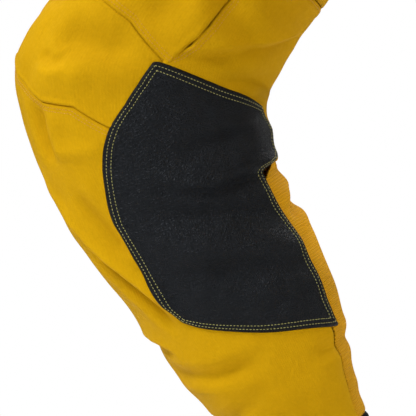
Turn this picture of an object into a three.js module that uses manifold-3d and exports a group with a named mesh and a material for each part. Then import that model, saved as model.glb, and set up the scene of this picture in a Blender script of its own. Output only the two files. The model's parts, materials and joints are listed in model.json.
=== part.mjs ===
// Off-road riding pants with leather inner-knee panels, worn in a long stride.
// Millimetres. +Z is up, -X is the wearer's front, +Y is the wearer's right.
// The origin is the centre of the waist opening, level with the waistband's top edge.
import * as THREE from "three";
import Module from "manifold-3d";

const wasm = await Module();
wasm.setup();

// ---- Driving dimensions -------------------------------------------------------------------------------------
const CLOTH = 3; // shell, lining and the air between them
const LEATHER = 3.6; // leather panel over its backing
const SEAM_GAP = 1.2; // between two sewn panels
const PLAY = 0.6; // between two pieces that lie on each other

const WAISTBAND_HEIGHT = 45;
const YOKE_HEIGHT = 75;
const HIP_JOINT_DROP = 120; // hip joint below the waist edge
const CROTCH_DROP = 245; // crotch point below the waist edge
const THIGH_LENGTH = 430; // hip joint to knee joint
const LEG_LENGTH = 800; // hip joint to cuff, along the leg
const CUFF_HEIGHT = 38;
const KNEE_BEND_RADIUS = 145; // of the leg's centre line through the knee
const HALF_THIGH_SPREAD = 100; // centre of the upper thigh from the middle plane
const KNEE_SPREAD = 12; // how much further out the knee stands

// Front, back and side distances of the trunk's outline from its centre, at each drop below the waist edge.
const TRUNK = [
  { drop: 0, front: 118, back: 114, side: 156 },
  { drop: WAISTBAND_HEIGHT, front: 121, back: 119, side: 161 },
  { drop: WAISTBAND_HEIGHT + YOKE_HEIGHT, front: 127, back: 132, side: 176 },
  { drop: 165, front: 124, back: 142, side: 187 },
];
const CROTCH_LOOP = { front: 104, back: 110, half: 93, x: 2, swing: 60 }; // swing: how far a raised thigh moves it

// Half sizes of the leg's outline round its centre line, at each distance below the hip joint.
const LEG = [
  { along: 190, front: 98, back: 97, half: 87 },
  { along: 240, front: 98, back: 96, half: 84 },
  { along: 290, front: 99, back: 97, half: 82 },
  { along: 350, front: 106, back: 103, half: 79 },
  { along: 378, front: 113, back: 104, half: 79 },
  { along: 407, front: 122, back: 104, half: 78 },
  { along: 448, front: 108, back: 104, half: 76 },
  { along: 490, front: 97, back: 104, half: 74 },
  { along: 518, front: 92, back: 97, half: 73 },
  { along: 556, front: 88, back: 92, half: 72 },
  { along: 600, front: 83, back: 88, half: 70 },
  { along: 650, front: 79, back: 82, half: 67 },
  { along: 705, front: 66, back: 67, half: 60 },
  { along: 760, front: 50, back: 50, half: 48 },
  { along: LEG_LENGTH, front: 45, back: 45, half: 45 },
];
const GUSSET = { length: 96, width: 56 };
const FULLNESS = 0.735; // of the diagonals; 0.707 would be an ellipse

// The stride: each thigh's swing forward of straight down, and each knee's bend.
const STRIDE = {
  right: { sign: 1, hip: 38, knee: 68.6 },
  left: { sign: -1, hip: -22, knee: 26 },
};

// Seams, as shares of the way round from the inner centre line: a quarter is the front, three quarters the back.
const OUTSEAM = 0.5;
const CALF_SEAM = -0.14;
const UPPER_THIGH_SEAM = 180; // distances below the hip joint
const KNEE_TOP_FRONT = 345;
const KNEE_TOP_INNER = 388;
const KNEE_LOW_FRONT = 401;
const KNEE_LOW_INNER = 442;
const BACK_KNEE_TOP = 255;
const BACK_KNEE_LOW = 530;

// Waist hardware.
const ZIP_LENGTH = 100;
const ZIP_TOP_DROP = 50;
const ZIP_HALF_WIDTH = 6;
const FLY_HALF_GAP = ZIP_HALF_WIDTH + PLAY;
const TEETH_DEPTH = 3;
const TEETH_REACH = 1; // past the middle
const TOOTH_PITCH = 5.2; // along one side
const CROWN_STAND = 3; // centre of the slider's crown in front of its face
const SLIDER = { width: 9, height: 13, depth: 4.5 };
const PULL = { width: 6, length: 26, thick: 1.6 };
const TAB = { from: -24, to: 13, height: 37, stand: 3.2, thick: 3 }; // angles round the waist
const SNAP = { angle: -15, cap: 8, post: 5 };
const LOOP = { width: 12, height: 50, drop: 3, thick: 2, stand: 5 };
const STRAP = { height: 25, thick: 2.2, from: 68, to: 106 }; // angles round the waist

const DEG = Math.PI / 180;

// ---- The garment's surface ----------------------------------------------------------------------------------
// A point of it is (down, round): down is the distance below the waist edge, along the leg, and round goes from
// the centre front or the inseam at 0, over the outside at a half, to the centre back or the inseam at 1.

function trunkPoint(row, round, sign) {
  const a = Math.PI * round;
  const reach = round < 0.5 ? row.front : row.back;
  return new THREE.Vector3(-reach * Math.cos(a), sign * row.side * Math.sin(a), -row.drop);
}

// A closed outline round a centre, in the plane of the wearer's left-right axis and the direction "ahead".
function loopPoint(centre, ahead, size, round, sign) {
  const a = 2 * Math.PI * round;
  const stretch = Math.abs(Math.sin(2 * a)) > 0.9 ? FULLNESS / Math.SQRT1_2 : 1;
  const depth = (Math.sin(a) > 0 ? size.front : size.back) * Math.sin(a) * stretch;
  return centre
    .clone()
    .addScaledVector(ahead, depth)
    .add(new THREE.Vector3(0, -sign * size.half * Math.cos(a) * stretch, 0));
}

// Centre and forward direction of the leg at a distance below the hip joint.
function legStation(pose, along) {
  const bend = pose.knee * DEG;
  const arc = KNEE_BEND_RADIUS * bend;
  const tangent = KNEE_BEND_RADIUS * Math.tan(bend / 2);
  const arcStart = THIGH_LENGTH - tangent;
  const past = THREE.MathUtils.clamp(along - arcStart, 0, arc);
  const down = (angle) => new THREE.Vector3(-Math.sin(angle), 0, -Math.cos(angle));
  const front = (angle) => new THREE.Vector3(-Math.cos(angle), 0, Math.sin(angle));
  const first = pose.hip * DEG;
  const angle = first - (past / arc) * bend;
  const centre = down(first).multiplyScalar(Math.min(along, arcStart));
  centre.z -= HIP_JOINT_DROP;
  centre.addScaledVector(front(first), -KNEE_BEND_RADIUS).addScaledVector(front(angle), KNEE_BEND_RADIUS);
  centre.addScaledVector(down(angle), Math.max(0, along - arcStart - arc));
  const spread = THREE.MathUtils.smoothstep(along, LEG[0].along, THIGH_LENGTH) * KNEE_SPREAD;
  centre.y = pose.sign * (HALF_THIGH_SPREAD + spread);
  return { centre, ahead: front(angle) };
}

function crotchPoint(pose, round) {
  const tilt = (pose.hip / 2) * DEG;
  const centre = new THREE.Vector3(CROTCH_LOOP.x, pose.sign * CROTCH_LOOP.half, -CROTCH_DROP);
  const ahead = new THREE.Vector3(-Math.cos(tilt), 0, Math.sin(tilt));
  const moved = CROTCH_LOOP.swing * Math.sin(pose.hip * DEG);
  const size = { front: CROTCH_LOOP.front + moved, back: CROTCH_LOOP.back - moved, half: CROTCH_LOOP.half };
  return loopPoint(centre, ahead, size, round, pose.sign);
}

// The rows of nine points that the surface passes through, with one more on each side so that it closes smoothly.
function surfaceRows(pose) {
  const open = (point) => {
    const line = [0, 1, 2, 3, 4, 5, 6, 7, 8].map((k) => point(k / 8));
    const mirrored = (p) => new THREE.Vector3(p.x, -p.y, p.z);
    return [mirrored(line[1]), ...line, mirrored(line[7])];
  };
  const closed = (point) => [-1, 0, 1, 2, 3, 4, 5, 6, 7, 8, 9].map((k) => point(k / 8));
  const lowest = TRUNK[TRUNK.length - 1];
  const under = (round) => {
    const from = trunkPoint(lowest, round, pose.sign);
    const to = crotchPoint(pose, round);
    const sideways = 1 - Math.SQRT1_2;
    return new THREE.Vector3(
      THREE.MathUtils.lerp(from.x, to.x, sideways),
      THREE.MathUtils.lerp(from.y, to.y, sideways),
      THREE.MathUtils.lerp(from.z, to.z, Math.SQRT1_2),
    );
  };
  return [
    ...TRUNK.map((row) => ({ down: row.drop, points: open((r) => trunkPoint(row, r, pose.sign)) })),
    { down: (lowest.drop + CROTCH_DROP) / 2, points: open(under) },
    { down: CROTCH_DROP, points: closed((r) => crotchPoint(pose, r)) },
    ...LEG.map((row) => {
      const { centre, ahead } = legStation(pose, row.along);
      return { down: row.along + HIP_JOINT_DROP, points: closed((r) => loopPoint(centre, ahead, row, r, pose.sign)) };
    }),
  ];
}

function hermite(p0, p1, m0, m1, t) {
  const t2 = t * t;
  const t3 = t2 * t;
  return new THREE.Vector3()
    .addScaledVector(p0, 2 * t3 - 3 * t2 + 1)
    .addScaledVector(m0, t3 - 2 * t2 + t)
    .addScaledVector(p1, 3 * t2 - 2 * t3)
    .addScaledVector(m1, t3 - t2);
}

function rowPoint(row, round) {
  const place = THREE.MathUtils.clamp(round, 0, 1) * 8;
  const k = Math.min(7, Math.floor(place));
  const p = row.points; // p[k + 1] is the point at k eighths
  const slope = (i) => p[i + 1].clone().sub(p[i - 1]).multiplyScalar(0.5);
  return hermite(p[k + 1], p[k + 2], slope(k + 1), slope(k + 2), place - k);
}

function surfacePoint(rows, down, round) {
  const turn = down >= CROTCH_DROP ? round - Math.floor(round) : round;
  let i = rows.findIndex((row) => row.down > down) - 1;
  if (i < 0) i = rows.length - 2;
  const span = rows[i + 1].down - rows[i].down;
  const at = (j) => rowPoint(rows[j], turn);
  const slopeOver = (a, b) => at(b).sub(at(a)).multiplyScalar(span / (rows[b].down - rows[a].down));
  const slope = (j) => {
    const central = slopeOver(Math.max(0, j - 1), Math.min(rows.length - 1, j + 1));
    if (rows[j].down !== CROTCH_DROP) return central;
    // front and back meet at the inseam, so there the surface arrives flat along the middle plane and leaves in
    // the leg's own direction
    const beside = THREE.MathUtils.smoothstep(Math.min(turn, 1 - turn), 0, 0.25);
    if (j === i) return slopeOver(j, j + 1).lerp(central, beside);
    return slopeOver(j - 1, j).lerp(central, beside);
  };
  return hermite(at(i), at(i + 1), slope(i), slope(i + 1), (down - rows[i].down) / span);
}

// Point, outward normal and the lengths of one step of each coordinate.
function surfaceFrame(pose, down, round) {
  const rows = pose.rows;
  const step = 0.5;
  const turn = 0.002;
  const lowest = rows[rows.length - 1].down;
  const a = surfacePoint(rows, Math.max(0, down - step), round);
  const b = surfacePoint(rows, Math.min(lowest, down + step), round);
  const closed = down >= CROTCH_DROP;
  const low = closed ? round - turn : Math.max(0, round - turn);
  const high = closed ? round + turn : Math.min(1, round + turn);
  const c = surfacePoint(rows, down, low);
  const d = surfacePoint(rows, down, high);
  const alongDown = b.sub(a);
  const alongRound = d.sub(c);
  const normal = alongRound.clone().cross(alongDown).normalize().multiplyScalar(-pose.sign);
  return {
    point: surfacePoint(rows, down, round),
    normal,
    perDown: alongDown.length() / (2 * step),
    perRound: alongRound.length() / (high - low),
  };
}

for (const pose of Object.values(STRIDE)) pose.rows = surfaceRows(pose);

// ---- Solids from a grid of points ---------------------------------------------------------------------------

// A plate between two grids of points of the same size; with "ring" its columns join up.
function plate(outer, inner, ring = false) {
  const rows = outer.length;
  const cols = outer[0].length;
  const positions = [];
  for (const grid of [outer, inner]) for (const line of grid) for (const p of line) positions.push(p.x, p.y, p.z);
  const at = (side, i, j) => side * rows * cols + i * cols + (j % cols);
  const faces = [];
  const quad = (a, b, c, d) => faces.push(a, b, c, a, c, d);
  const last = ring ? cols : cols - 1;
  for (let i = 0; i < rows - 1; i++) {
    for (let j = 0; j < last; j++) {
      quad(at(0, i, j), at(0, i + 1, j), at(0, i + 1, j + 1), at(0, i, j + 1));
      quad(at(1, i, j), at(1, i, j + 1), at(1, i + 1, j + 1), at(1, i + 1, j));
    }
  }
  for (let j = 0; j < last; j++) {
    quad(at(0, 0, j), at(0, 0, j + 1), at(1, 0, j + 1), at(1, 0, j));
    quad(at(0, rows - 1, j), at(1, rows - 1, j), at(1, rows - 1, j + 1), at(0, rows - 1, j + 1));
  }
  if (!ring) {
    for (let i = 0; i < rows - 1; i++) {
      quad(at(0, i, 0), at(1, i, 0), at(1, i + 1, 0), at(0, i + 1, 0));
      quad(at(0, i, cols - 1), at(0, i + 1, cols - 1), at(1, i + 1, cols - 1), at(1, i, cols - 1));
    }
  }
  const geometry = new THREE.BufferGeometry();
  geometry.setAttribute("position", new THREE.Float32BufferAttribute(positions, 3));
  geometry.setIndex(faces);
  return facingOut(geometry);
}

function solidOf(geometry) {
  return new wasm.Manifold(
    new wasm.Mesh({
      numProp: 3,
      vertProperties: new Float32Array(geometry.attributes.position.array),
      triVerts: new Uint32Array(geometry.index.array),
    }),
  );
}

function facingOut(geometry) {
  if (solidOf(geometry).volume() < 0) {
    const index = geometry.index.array;
    for (let i = 0; i < index.length; i += 3) [index[i + 1], index[i + 2]] = [index[i + 2], index[i + 1]];
  }
  return geometry;
}

function geometryOf(solid) {
  const mesh = solid.getMesh();
  const geometry = new THREE.BufferGeometry();
  geometry.setAttribute("position", new THREE.BufferAttribute(mesh.vertProperties.slice(), 3));
  geometry.setIndex(new THREE.BufferAttribute(mesh.triVerts.slice(), 1));
  return geometry;
}

function largest(solid) {
  return solid.decompose().sort((a, b) => b.volume() - a.volume())[0];
}

function cut(geometry, ...cutters) {
  let solid = solidOf(geometry);
  for (const cutter of cutters) solid = solid.subtract(solidOf(cutter));
  return geometryOf(solid);
}

// The same solid with every corner stored once.
function welded(geometry) {
  const source = geometry.index ? geometry.toNonIndexed() : geometry;
  const at = source.attributes.position;
  const seen = new Map();
  const positions = [];
  const faces = [];
  for (let i = 0; i < at.count; i += 3) {
    const corners = [0, 1, 2].map((k) => {
      const p = [at.getX(i + k), at.getY(i + k), at.getZ(i + k)];
      const key = p.map((v) => Math.round(v * 1e4)).join(",");
      if (!seen.has(key)) {
        seen.set(key, positions.length / 3);
        positions.push(...p);
      }
      return seen.get(key);
    });
    if (new Set(corners).size === 3) faces.push(...corners);
  }
  const joined = new THREE.BufferGeometry();
  joined.setAttribute("position", new THREE.Float32BufferAttribute(positions, 3));
  joined.setIndex(faces);
  return joined;
}

// A curve through (down, round) points, evenly by its share.
function edge(points) {
  return (share) => {
    const place = share * (points.length - 1);
    const i = Math.min(points.length - 2, Math.floor(place));
    const f = place - i;
    return [0, 1].map((k) => points[i][k] * (1 - f) + points[i + 1][k] * f);
  };
}

// A sewn panel: four edges in (down, round), filled smoothly, set in from its edges by half the seam gap.
function panel(pose, { top, bottom, left, right, rows, cols, from = -CLOTH, to = 0, inset = SEAM_GAP / 2 }) {
  const outer = [];
  const inner = [];
  const shares = Array.isArray(rows) ? rows : Array.from({ length: rows + 1 }, (_, i) => i / rows);
  for (let i = 0; i < shares.length; i++) {
    outer.push([]);
    inner.push([]);
    for (let j = 0; j <= cols; j++) {
      const t = shares[i];
      const s = j / cols;
      const [a, b, c, d] = [top(s), bottom(s), left(t), right(t)];
      const corner = [top(0), top(1), bottom(0), bottom(1)];
      let [down, round] = [0, 1].map(
        (k) =>
          (1 - t) * a[k] + t * b[k] + (1 - s) * c[k] + s * d[k] -
          (1 - t) * ((1 - s) * corner[0][k] + s * corner[1][k]) -
          t * ((1 - s) * corner[2][k] + s * corner[3][k]),
      );
      const before = surfaceFrame(pose, down, round);
      if (i === 0) down += inset / before.perDown;
      if (i === shares.length - 1) down -= inset / before.perDown;
      if (j === 0) round += inset / before.perRound;
      if (j === cols) round -= inset / before.perRound;
      const { point, normal } = surfaceFrame(pose, down, round);
      outer[i].push(point.clone().addScaledVector(normal, to));
      inner[i].push(point.clone().addScaledVector(normal, from));
    }
  }
  return plate(outer, inner);
}

const line = (a, b) => edge([a, b]);
const belowHip = (along) => along + HIP_JOINT_DROP;

// ---- Leg pieces ---------------------------------------------------------------------------------------------

const seatTop = WAISTBAND_HEIGHT + YOKE_HEIGHT;
const thighTop = belowHip(UPPER_THIGH_SEAM);
const cuffTop = belowHip(LEG_LENGTH) - CUFF_HEIGHT;
const cuffEnd = belowHip(LEG_LENGTH);

// The seam between the front and back of the thigh, from the upper thigh to the leather panel's tip.
const inseamUpper = edge([
  [belowHip(UPPER_THIGH_SEAM), 0],
  [belowHip(BACK_KNEE_TOP), -0.03],
]);
const inseamLower = edge([
  [belowHip(BACK_KNEE_TOP), -0.03],
  [belowHip(304), -0.048],
  [belowHip(350), -0.041],
  [belowHip(KNEE_TOP_INNER), -0.006],
]);
const inseamAll = edge([0, 0.5, 1].map(inseamUpper).concat([1 / 3, 2 / 3, 1].map(inseamLower)));

// The knee panel's upper seam rises towards the front of the knee, and its lower one is highest there too.
const kneeTopSeam = edge([
  [belowHip(KNEE_TOP_INNER), -0.006],
  [belowHip(365), 0.046],
  [belowHip(360), 0.091],
  [belowHip(352), 0.16],
  [belowHip(KNEE_TOP_FRONT), 0.25],
  [belowHip(KNEE_TOP_FRONT), 0.33],
  [belowHip(KNEE_TOP_FRONT), 0.41],
  [belowHip(KNEE_TOP_FRONT), OUTSEAM],
]);
const kneeLow = [
  [belowHip(KNEE_LOW_INNER), 0.049],
  [belowHip(427), 0.089],
  [belowHip(424), 0.135],
  [belowHip(414), 0.178],
  [belowHip(KNEE_LOW_FRONT), 0.25],
  [belowHip(414), 0.33],
  [belowHip(427), 0.41],
  [belowHip(KNEE_LOW_INNER), OUTSEAM],
];
const kneeLowSeam = edge(kneeLow);
const shinTopSeam = edge([[belowHip(BACK_KNEE_LOW), CALF_SEAM], [belowHip(480), -0.05], ...kneeLow]);

// The leather panel's outline on the inside of the knee: top and right run round the back, bottom and left the front.
const leatherEdges = {
  top: edge([
    [belowHip(388), -0.001],
    [belowHip(391), -0.05],
    [belowHip(396), -0.102],
    [belowHip(404), -0.15],
    [belowHip(430), -0.19],
    [belowHip(470), -0.212],
    [belowHip(505), -0.215],
  ]),
  bottom: edge([
    [belowHip(608), 0.096],
    [belowHip(630), 0.05],
    [belowHip(648), 0.0],
    [belowHip(663), -0.055],
    [belowHip(674), -0.11],
    [belowHip(681), -0.166],
  ]),
  left: edge([
    [belowHip(388), -0.001],
    [belowHip(409), 0.014],
    [belowHip(426), 0.029],
    [belowHip(442), 0.049],
    [belowHip(462), 0.069],
    [belowHip(485), 0.086],
    [belowHip(510), 0.099],
    [belowHip(545), 0.105],
    [belowHip(580), 0.108],
    [belowHip(608), 0.096],
  ]),
  right: edge([
    [belowHip(505), -0.215],
    [belowHip(535), -0.165],
    [belowHip(566), -0.15],
    [belowHip(601), -0.157],
    [belowHip(640), -0.155],
    [belowHip(681), -0.166],
  ]),
};

function leatherPanel(pose, extra) {
  // left is towards the front of the leg, where "round" is higher, so the sides change places
  return panel(pose, {
    top: (s) => leatherEdges.top(1 - s),
    bottom: (s) => leatherEdges.bottom(1 - s),
    left: leatherEdges.right,
    right: leatherEdges.left,
    rows: 10,
    cols: 8,
    ...extra,
  });
}

function legPieces(pose) {
  const leather = leatherPanel(pose, { from: -LEATHER + 0.6, to: 0.6 });
  const leatherCutter = leatherPanel(pose, { from: -1.7 * LEATHER, to: 1.2 * LEATHER, inset: -2 * SEAM_GAP });
  const across = (top, bottom, from, to, rows, cols, extra = {}) =>
    panel(pose, {
      top: line([top, from], [top, to]),
      bottom: line([bottom, from], [bottom, to]),
      left: line([top, from], [bottom, from]),
      right: line([top, to], [bottom, to]),
      rows,
      cols,
      ...extra,
    });
  const frontThigh = panel(pose, {
    top: line([thighTop, 0], [thighTop, OUTSEAM]),
    bottom: kneeTopSeam,
    left: inseamAll,
    right: line([thighTop, OUTSEAM], kneeTopSeam(1)),
    rows: 7,
    cols: 14,
  });
  const backward = (curve) => (share) => [curve(share)[0], 1 + curve(share)[1]];
  const backThigh = panel(pose, {
    top: line([thighTop, OUTSEAM], [thighTop, 1]),
    bottom: line([belowHip(BACK_KNEE_TOP), OUTSEAM], [belowHip(BACK_KNEE_TOP), 1 + inseamUpper(1)[1]]),
    left: line([thighTop, OUTSEAM], [belowHip(BACK_KNEE_TOP), OUTSEAM]),
    right: backward(inseamUpper),
    rows: 3,
    cols: 10,
  });
  const backKneeSide = edge([0, 1 / 3, 2 / 3, 1].map(inseamLower).concat([[belowHip(455), -0.07], [belowHip(BACK_KNEE_LOW), CALF_SEAM]]));
  const backKnee = panel(pose, {
    top: line([belowHip(BACK_KNEE_TOP), OUTSEAM], [belowHip(BACK_KNEE_TOP), 1 + inseamLower(0)[1]]),
    bottom: line([belowHip(BACK_KNEE_LOW), OUTSEAM], [belowHip(BACK_KNEE_LOW), 1 + CALF_SEAM]),
    left: line([belowHip(BACK_KNEE_TOP), OUTSEAM], [belowHip(BACK_KNEE_LOW), OUTSEAM]),
    right: backward(backKneeSide),
    rows: 14,
    cols: 10,
  });
  const knee = panel(pose, {
    top: kneeTopSeam,
    bottom: kneeLowSeam,
    left: line(kneeTopSeam(0), kneeLowSeam(0)),
    right: line(kneeTopSeam(1), kneeLowSeam(1)),
    rows: 5,
    cols: 14, // twice the segments of its lower seam, so that it and the shin panel share every corner
  });
  const shin = panel(pose, {
    top: shinTopSeam,
    bottom: line([cuffTop, CALF_SEAM], [cuffTop, OUTSEAM]),
    left: line(shinTopSeam(0), [cuffTop, CALF_SEAM]),
    right: line(shinTopSeam(1), [cuffTop, OUTSEAM]),
    rows: 10,
    cols: 18,
  });
  const hipHalves = hipPanels(pose, SEAM_GAP / 2).map((half, k) => {
    const others = k === 0 ? [hipPanels(pose, 0, PLAY)[1], flyCutter()] : [];
    const open = solidOf(cut(half, gussetCutter(SEAM_GAP), ...others));
    return geometryOf(largest(open.trimByPlane([0, pose.sign, 0], SEAM_GAP / 2)));
  });
  return {
    front_hip_panel: hipHalves[0],
    seat_panel: hipHalves[1],
    front_thigh_panel: cut(frontThigh, leatherCutter),
    back_thigh_panel: backThigh,
    knee_panel: cut(knee, leatherCutter),
    back_knee_panel: cut(backKnee, leatherCutter),
    inner_knee_leather: leather,
    shin_panel: cut(shin, leatherCutter),
    calf_stretch_panel: cut(
      across(belowHip(BACK_KNEE_LOW), cuffTop, OUTSEAM, 1 + CALF_SEAM, 6, 8),
      leatherCutter,
    ),
    cuff: cuffRing(pose),
  };
}

// Front and seat halves of one side, from the yoke over the crotch to the upper thigh.
function hipPanels(pose, inset, thicker = 0) {
  const share = (down) => (down - seatTop) / (thighTop - seatTop);
  const above = [0, 1, 2, 3, 4].map((k) => (share(CROTCH_DROP) * k) / 4);
  const below = [1, 2, 3].map((k) => share(CROTCH_DROP) + ((1 - share(CROTCH_DROP)) * k) / 3);
  return [
    [0, OUTSEAM],
    [OUTSEAM, 1],
  ].map(([from, to]) =>
    panel(pose, {
      top: line([seatTop, from], [seatTop, to]),
      bottom: line([thighTop, from], [thighTop, to]),
      left: line([seatTop, from], [thighTop, from]),
      right: line([seatTop, to], [thighTop, to]),
      rows: [...above, ...below],
      cols: 8,
      inset,
      from: -CLOTH - thicker,
      to: thicker,
    }),
  );
}

function flyCutter() {
  const height = ZIP_TOP_DROP + ZIP_LENGTH + 3;
  return box(80, 2 * FLY_HALF_GAP, height, -TRUNK[2].front, 0, -height / 2);
}

function gussetCutter(grow) {
  const geometry = new THREE.CylinderGeometry(1, 1, 160, 40);
  geometry.rotateX(Math.PI / 2);
  geometry.scale(GUSSET.length / 2 + grow, GUSSET.width / 2 + grow, 1);
  geometry.translate(CROTCH_LOOP.x, 0, -CROTCH_DROP);
  return welded(geometry);
}

// One side of the gusset: the part of both halves round the crotch, in one piece across the inseam.
function crotchGusset(pose) {
  const halves = hipPanels(pose, 0).map((half) => solidOf(half).intersect(solidOf(gussetCutter(0))));
  const joined = wasm.Manifold.union(halves).trimByPlane([0, pose.sign, 0], SEAM_GAP / 2);
  return geometryOf(largest(joined).simplify(0.05));
}

function cuffRing(pose) {
  const segments = 24;
  const grids = [0, -CLOTH].map((depth) =>
    [0, 1, 2].map((i) => {
      const down = cuffTop + SEAM_GAP / 2 + (i / 2) * (CUFF_HEIGHT - SEAM_GAP / 2);
      return Array.from({ length: segments }, (_, j) => {
        const { point, normal } = surfaceFrame(pose, down, j / segments);
        return point.addScaledVector(normal, depth);
      });
    }),
  );
  return plate(grids[0], grids[1], true);
}

// ---- Waist --------------------------------------------------------------------------------------------------
// Angles round the waist are in degrees from the centre front, positive on the wearer's right.

// A point of the trunk, and the way outwards there. The cloth stands CLOTH out from it.
function trunkFrame(down, angle) {
  const turned = ((angle + 180) % 360) - 180;
  const pose = turned >= 0 ? STRIDE.right : STRIDE.left;
  const frame = surfaceFrame(pose, down, Math.abs(turned) / 180);
  frame.normal.negate();
  return frame;
}

// depth is measured outwards from the outside of the cloth.

function band({ top, bottom, from, to, rows, cols, depth = [-CLOTH, 0], inset = SEAM_GAP / 2 }) {
  const [inside, outside] = depth;
  const grids = [outside, inside].map((offset) =>
    Array.from({ length: rows + 1 }, (_, i) =>
      Array.from({ length: cols + 1 }, (_, j) => {
        const down = THREE.MathUtils.lerp(top + (top > 0 ? inset : 0), bottom - inset, i / rows);
        const perDegree = trunkFrame(down, (from + to) / 2).perRound / 180;
        const angle = THREE.MathUtils.lerp(from + inset / perDegree, to - inset / perDegree, j / cols);
        const { point, normal } = trunkFrame(down, angle);
        normal.z = 0; // the trunk's pieces are thick in the level plane, so their edges stay level
        return point.addScaledVector(normal.normalize(), CLOTH + offset);
      }),
    ),
  );
  return plate(grids[0], grids[1]);
}

function box(width, depth, height, x, y, z) {
  const geometry = new THREE.BoxGeometry(width, depth, height);
  geometry.translate(x, y, z);
  return welded(geometry);
}

// The fly lies in one leaning plane, so that its slider runs straight.
const flyTop = { x: -frontReach(ZIP_TOP_DROP), z: -ZIP_TOP_DROP };
const flyEnd = { x: -frontReach(ZIP_TOP_DROP + ZIP_LENGTH), z: -(ZIP_TOP_DROP + ZIP_LENGTH) };
const flyLean = Math.atan2(flyTop.x - flyEnd.x, ZIP_LENGTH);

function frontReach(drop) {
  return -surfacePoint(STRIDE.right.rows, drop, 0).x;
}

// Places something built with the fly's outward side at -X and its top end at z = 0 running down.
function ontoFly(geometry) {
  geometry.rotateY(flyLean);
  geometry.translate(flyTop.x, 0, flyTop.z);
  return geometry;
}

function zipTape(sign) {
  const parts = [
    solidOf(
      box(1.2, ZIP_HALF_WIDTH - TEETH_REACH - 0.6, ZIP_LENGTH, 2, (sign * (ZIP_HALF_WIDTH + TEETH_REACH + 0.6)) / 2, -ZIP_LENGTH / 2),
    ),
  ];
  const start = sign > 0 ? 2 : 2 + TOOTH_PITCH / 2;
  for (let z = start; z < ZIP_LENGTH - 3; z += TOOTH_PITCH) {
    const width = 2 * TEETH_REACH + 1.4;
    parts.push(
      solidOf(box(TEETH_DEPTH, width, TOOTH_PITCH / 2 - PLAY, 2, sign * (width / 2 - TEETH_REACH), -z - TOOTH_PITCH / 4)),
    );
  }
  return ontoFly(geometryOf(wasm.Manifold.union(parts)));
}

function zipSlider() {
  const front = 2 - TEETH_DEPTH / 2 - PLAY; // how far out the teeth reach, and a little
  const body = box(1.4, SLIDER.width, SLIDER.height, front - 0.7, 0, -SLIDER.height / 2 - 3);
  const side = (sign) =>
    box(TEETH_DEPTH / 2 + 0.4, 1.1, SLIDER.height - 2, front + TEETH_DEPTH / 4 - 0.4, (sign * (SLIDER.width - 1.1)) / 2, -SLIDER.height / 2 - 3);
  const crown = new THREE.TorusGeometry(2.4, 0.7, 8, 16);
  crown.translate(front - CROWN_STAND, -SLIDER.height / 2 - 1, 0);
  crown.rotateX(Math.PI / 2);
  return ontoFly(geometryOf(wasm.Manifold.union([body, side(1), side(-1), welded(crown)].map(solidOf))));
}

function zipPull() {
  const front = 2 - TEETH_DEPTH / 2 - PLAY - CROWN_STAND; // its centre plane
  const outline = new THREE.Shape();
  const w = PULL.width / 2;
  outline.moveTo(-w * 0.6, 2.2);
  outline.lineTo(w * 0.6, 2.2);
  outline.lineTo(w, -6);
  outline.lineTo(w * 0.8, -PULL.length + 3);
  outline.lineTo(w * 0.4, -PULL.length + 1.5);
  outline.lineTo(-w * 0.4, -PULL.length + 1.5);
  outline.lineTo(-w * 0.8, -PULL.length + 3);
  outline.lineTo(-w, -6);
  const hole = new THREE.Path();
  hole.moveTo(-1.3, 0.6);
  hole.lineTo(-1.3, -3.2);
  hole.lineTo(1.3, -3.2);
  hole.lineTo(1.3, 0.6);
  outline.holes.push(hole);
  const geometry = new THREE.ExtrudeGeometry(outline, { depth: PULL.thick, bevelEnabled: false });
  geometry.translate(0, 0, -PULL.thick / 2);
  geometry.rotateX(Math.PI / 2);
  geometry.rotateZ(-Math.PI / 2);
  geometry.translate(front, 0, -SLIDER.height / 2 - 1 - 1.4); // its top bar lies in the crown
  return ontoFly(welded(geometry));
}

// A round snap part standing off the waistband's outside.
function snapDisc(radius, stand, thick) {
  const { point, normal } = trunkFrame(WAISTBAND_HEIGHT / 2, SNAP.angle);
  const profile = [
    [0, stand],
    [radius, stand],
    [radius, stand + thick * 0.55],
    [radius * 0.72, stand + thick],
    [0, stand + thick],
  ].map(([r, y]) => new THREE.Vector2(r, CLOTH + y));
  const geometry = new THREE.LatheGeometry(profile, 28);
  geometry.applyQuaternion(new THREE.Quaternion().setFromUnitVectors(new THREE.Vector3(0, 1, 0), normal));
  geometry.translate(point.x, point.y, point.z);
  return welded(geometry);
}

function beltLoop(angle) {
  const high = LOOP.height / 2;
  const { normal } = trunkFrame(WAISTBAND_HEIGHT / 2, angle);
  const heading = Math.atan2(normal.y, normal.x);
  const [upper, lower] = [LOOP.drop, LOOP.drop + LOOP.height].map((drop) => trunkFrame(drop, angle).point);
  const lean = Math.asin((Math.hypot(lower.x, lower.y) - Math.hypot(upper.x, upper.y)) / LOOP.height);
  const profile = new THREE.Shape();
  const out = LOOP.stand + LOOP.thick;
  profile.moveTo(PLAY, -high);
  profile.lineTo(PLAY + LOOP.thick, -high);
  profile.lineTo(out, -high + 9);
  profile.lineTo(out, high - 9);
  profile.lineTo(PLAY + LOOP.thick, high);
  profile.lineTo(PLAY, high);
  profile.lineTo(PLAY, high - 7);
  profile.lineTo(out - LOOP.thick, high - 14);
  profile.lineTo(out - LOOP.thick, -high + 14);
  profile.lineTo(PLAY, -high + 7);
  const geometry = new THREE.ExtrudeGeometry(profile, { depth: LOOP.width, bevelEnabled: false });
  geometry.translate(0, 0, -LOOP.width / 2);
  geometry.rotateX(Math.PI / 2);
  geometry.rotateY(-lean);
  geometry.rotateZ(heading);
  const middle = upper.clone().add(lower).multiplyScalar(0.5);
  geometry.translate(middle.x + CLOTH * Math.cos(heading), middle.y + CLOTH * Math.sin(heading), middle.z);
  return welded(geometry);
}

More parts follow.
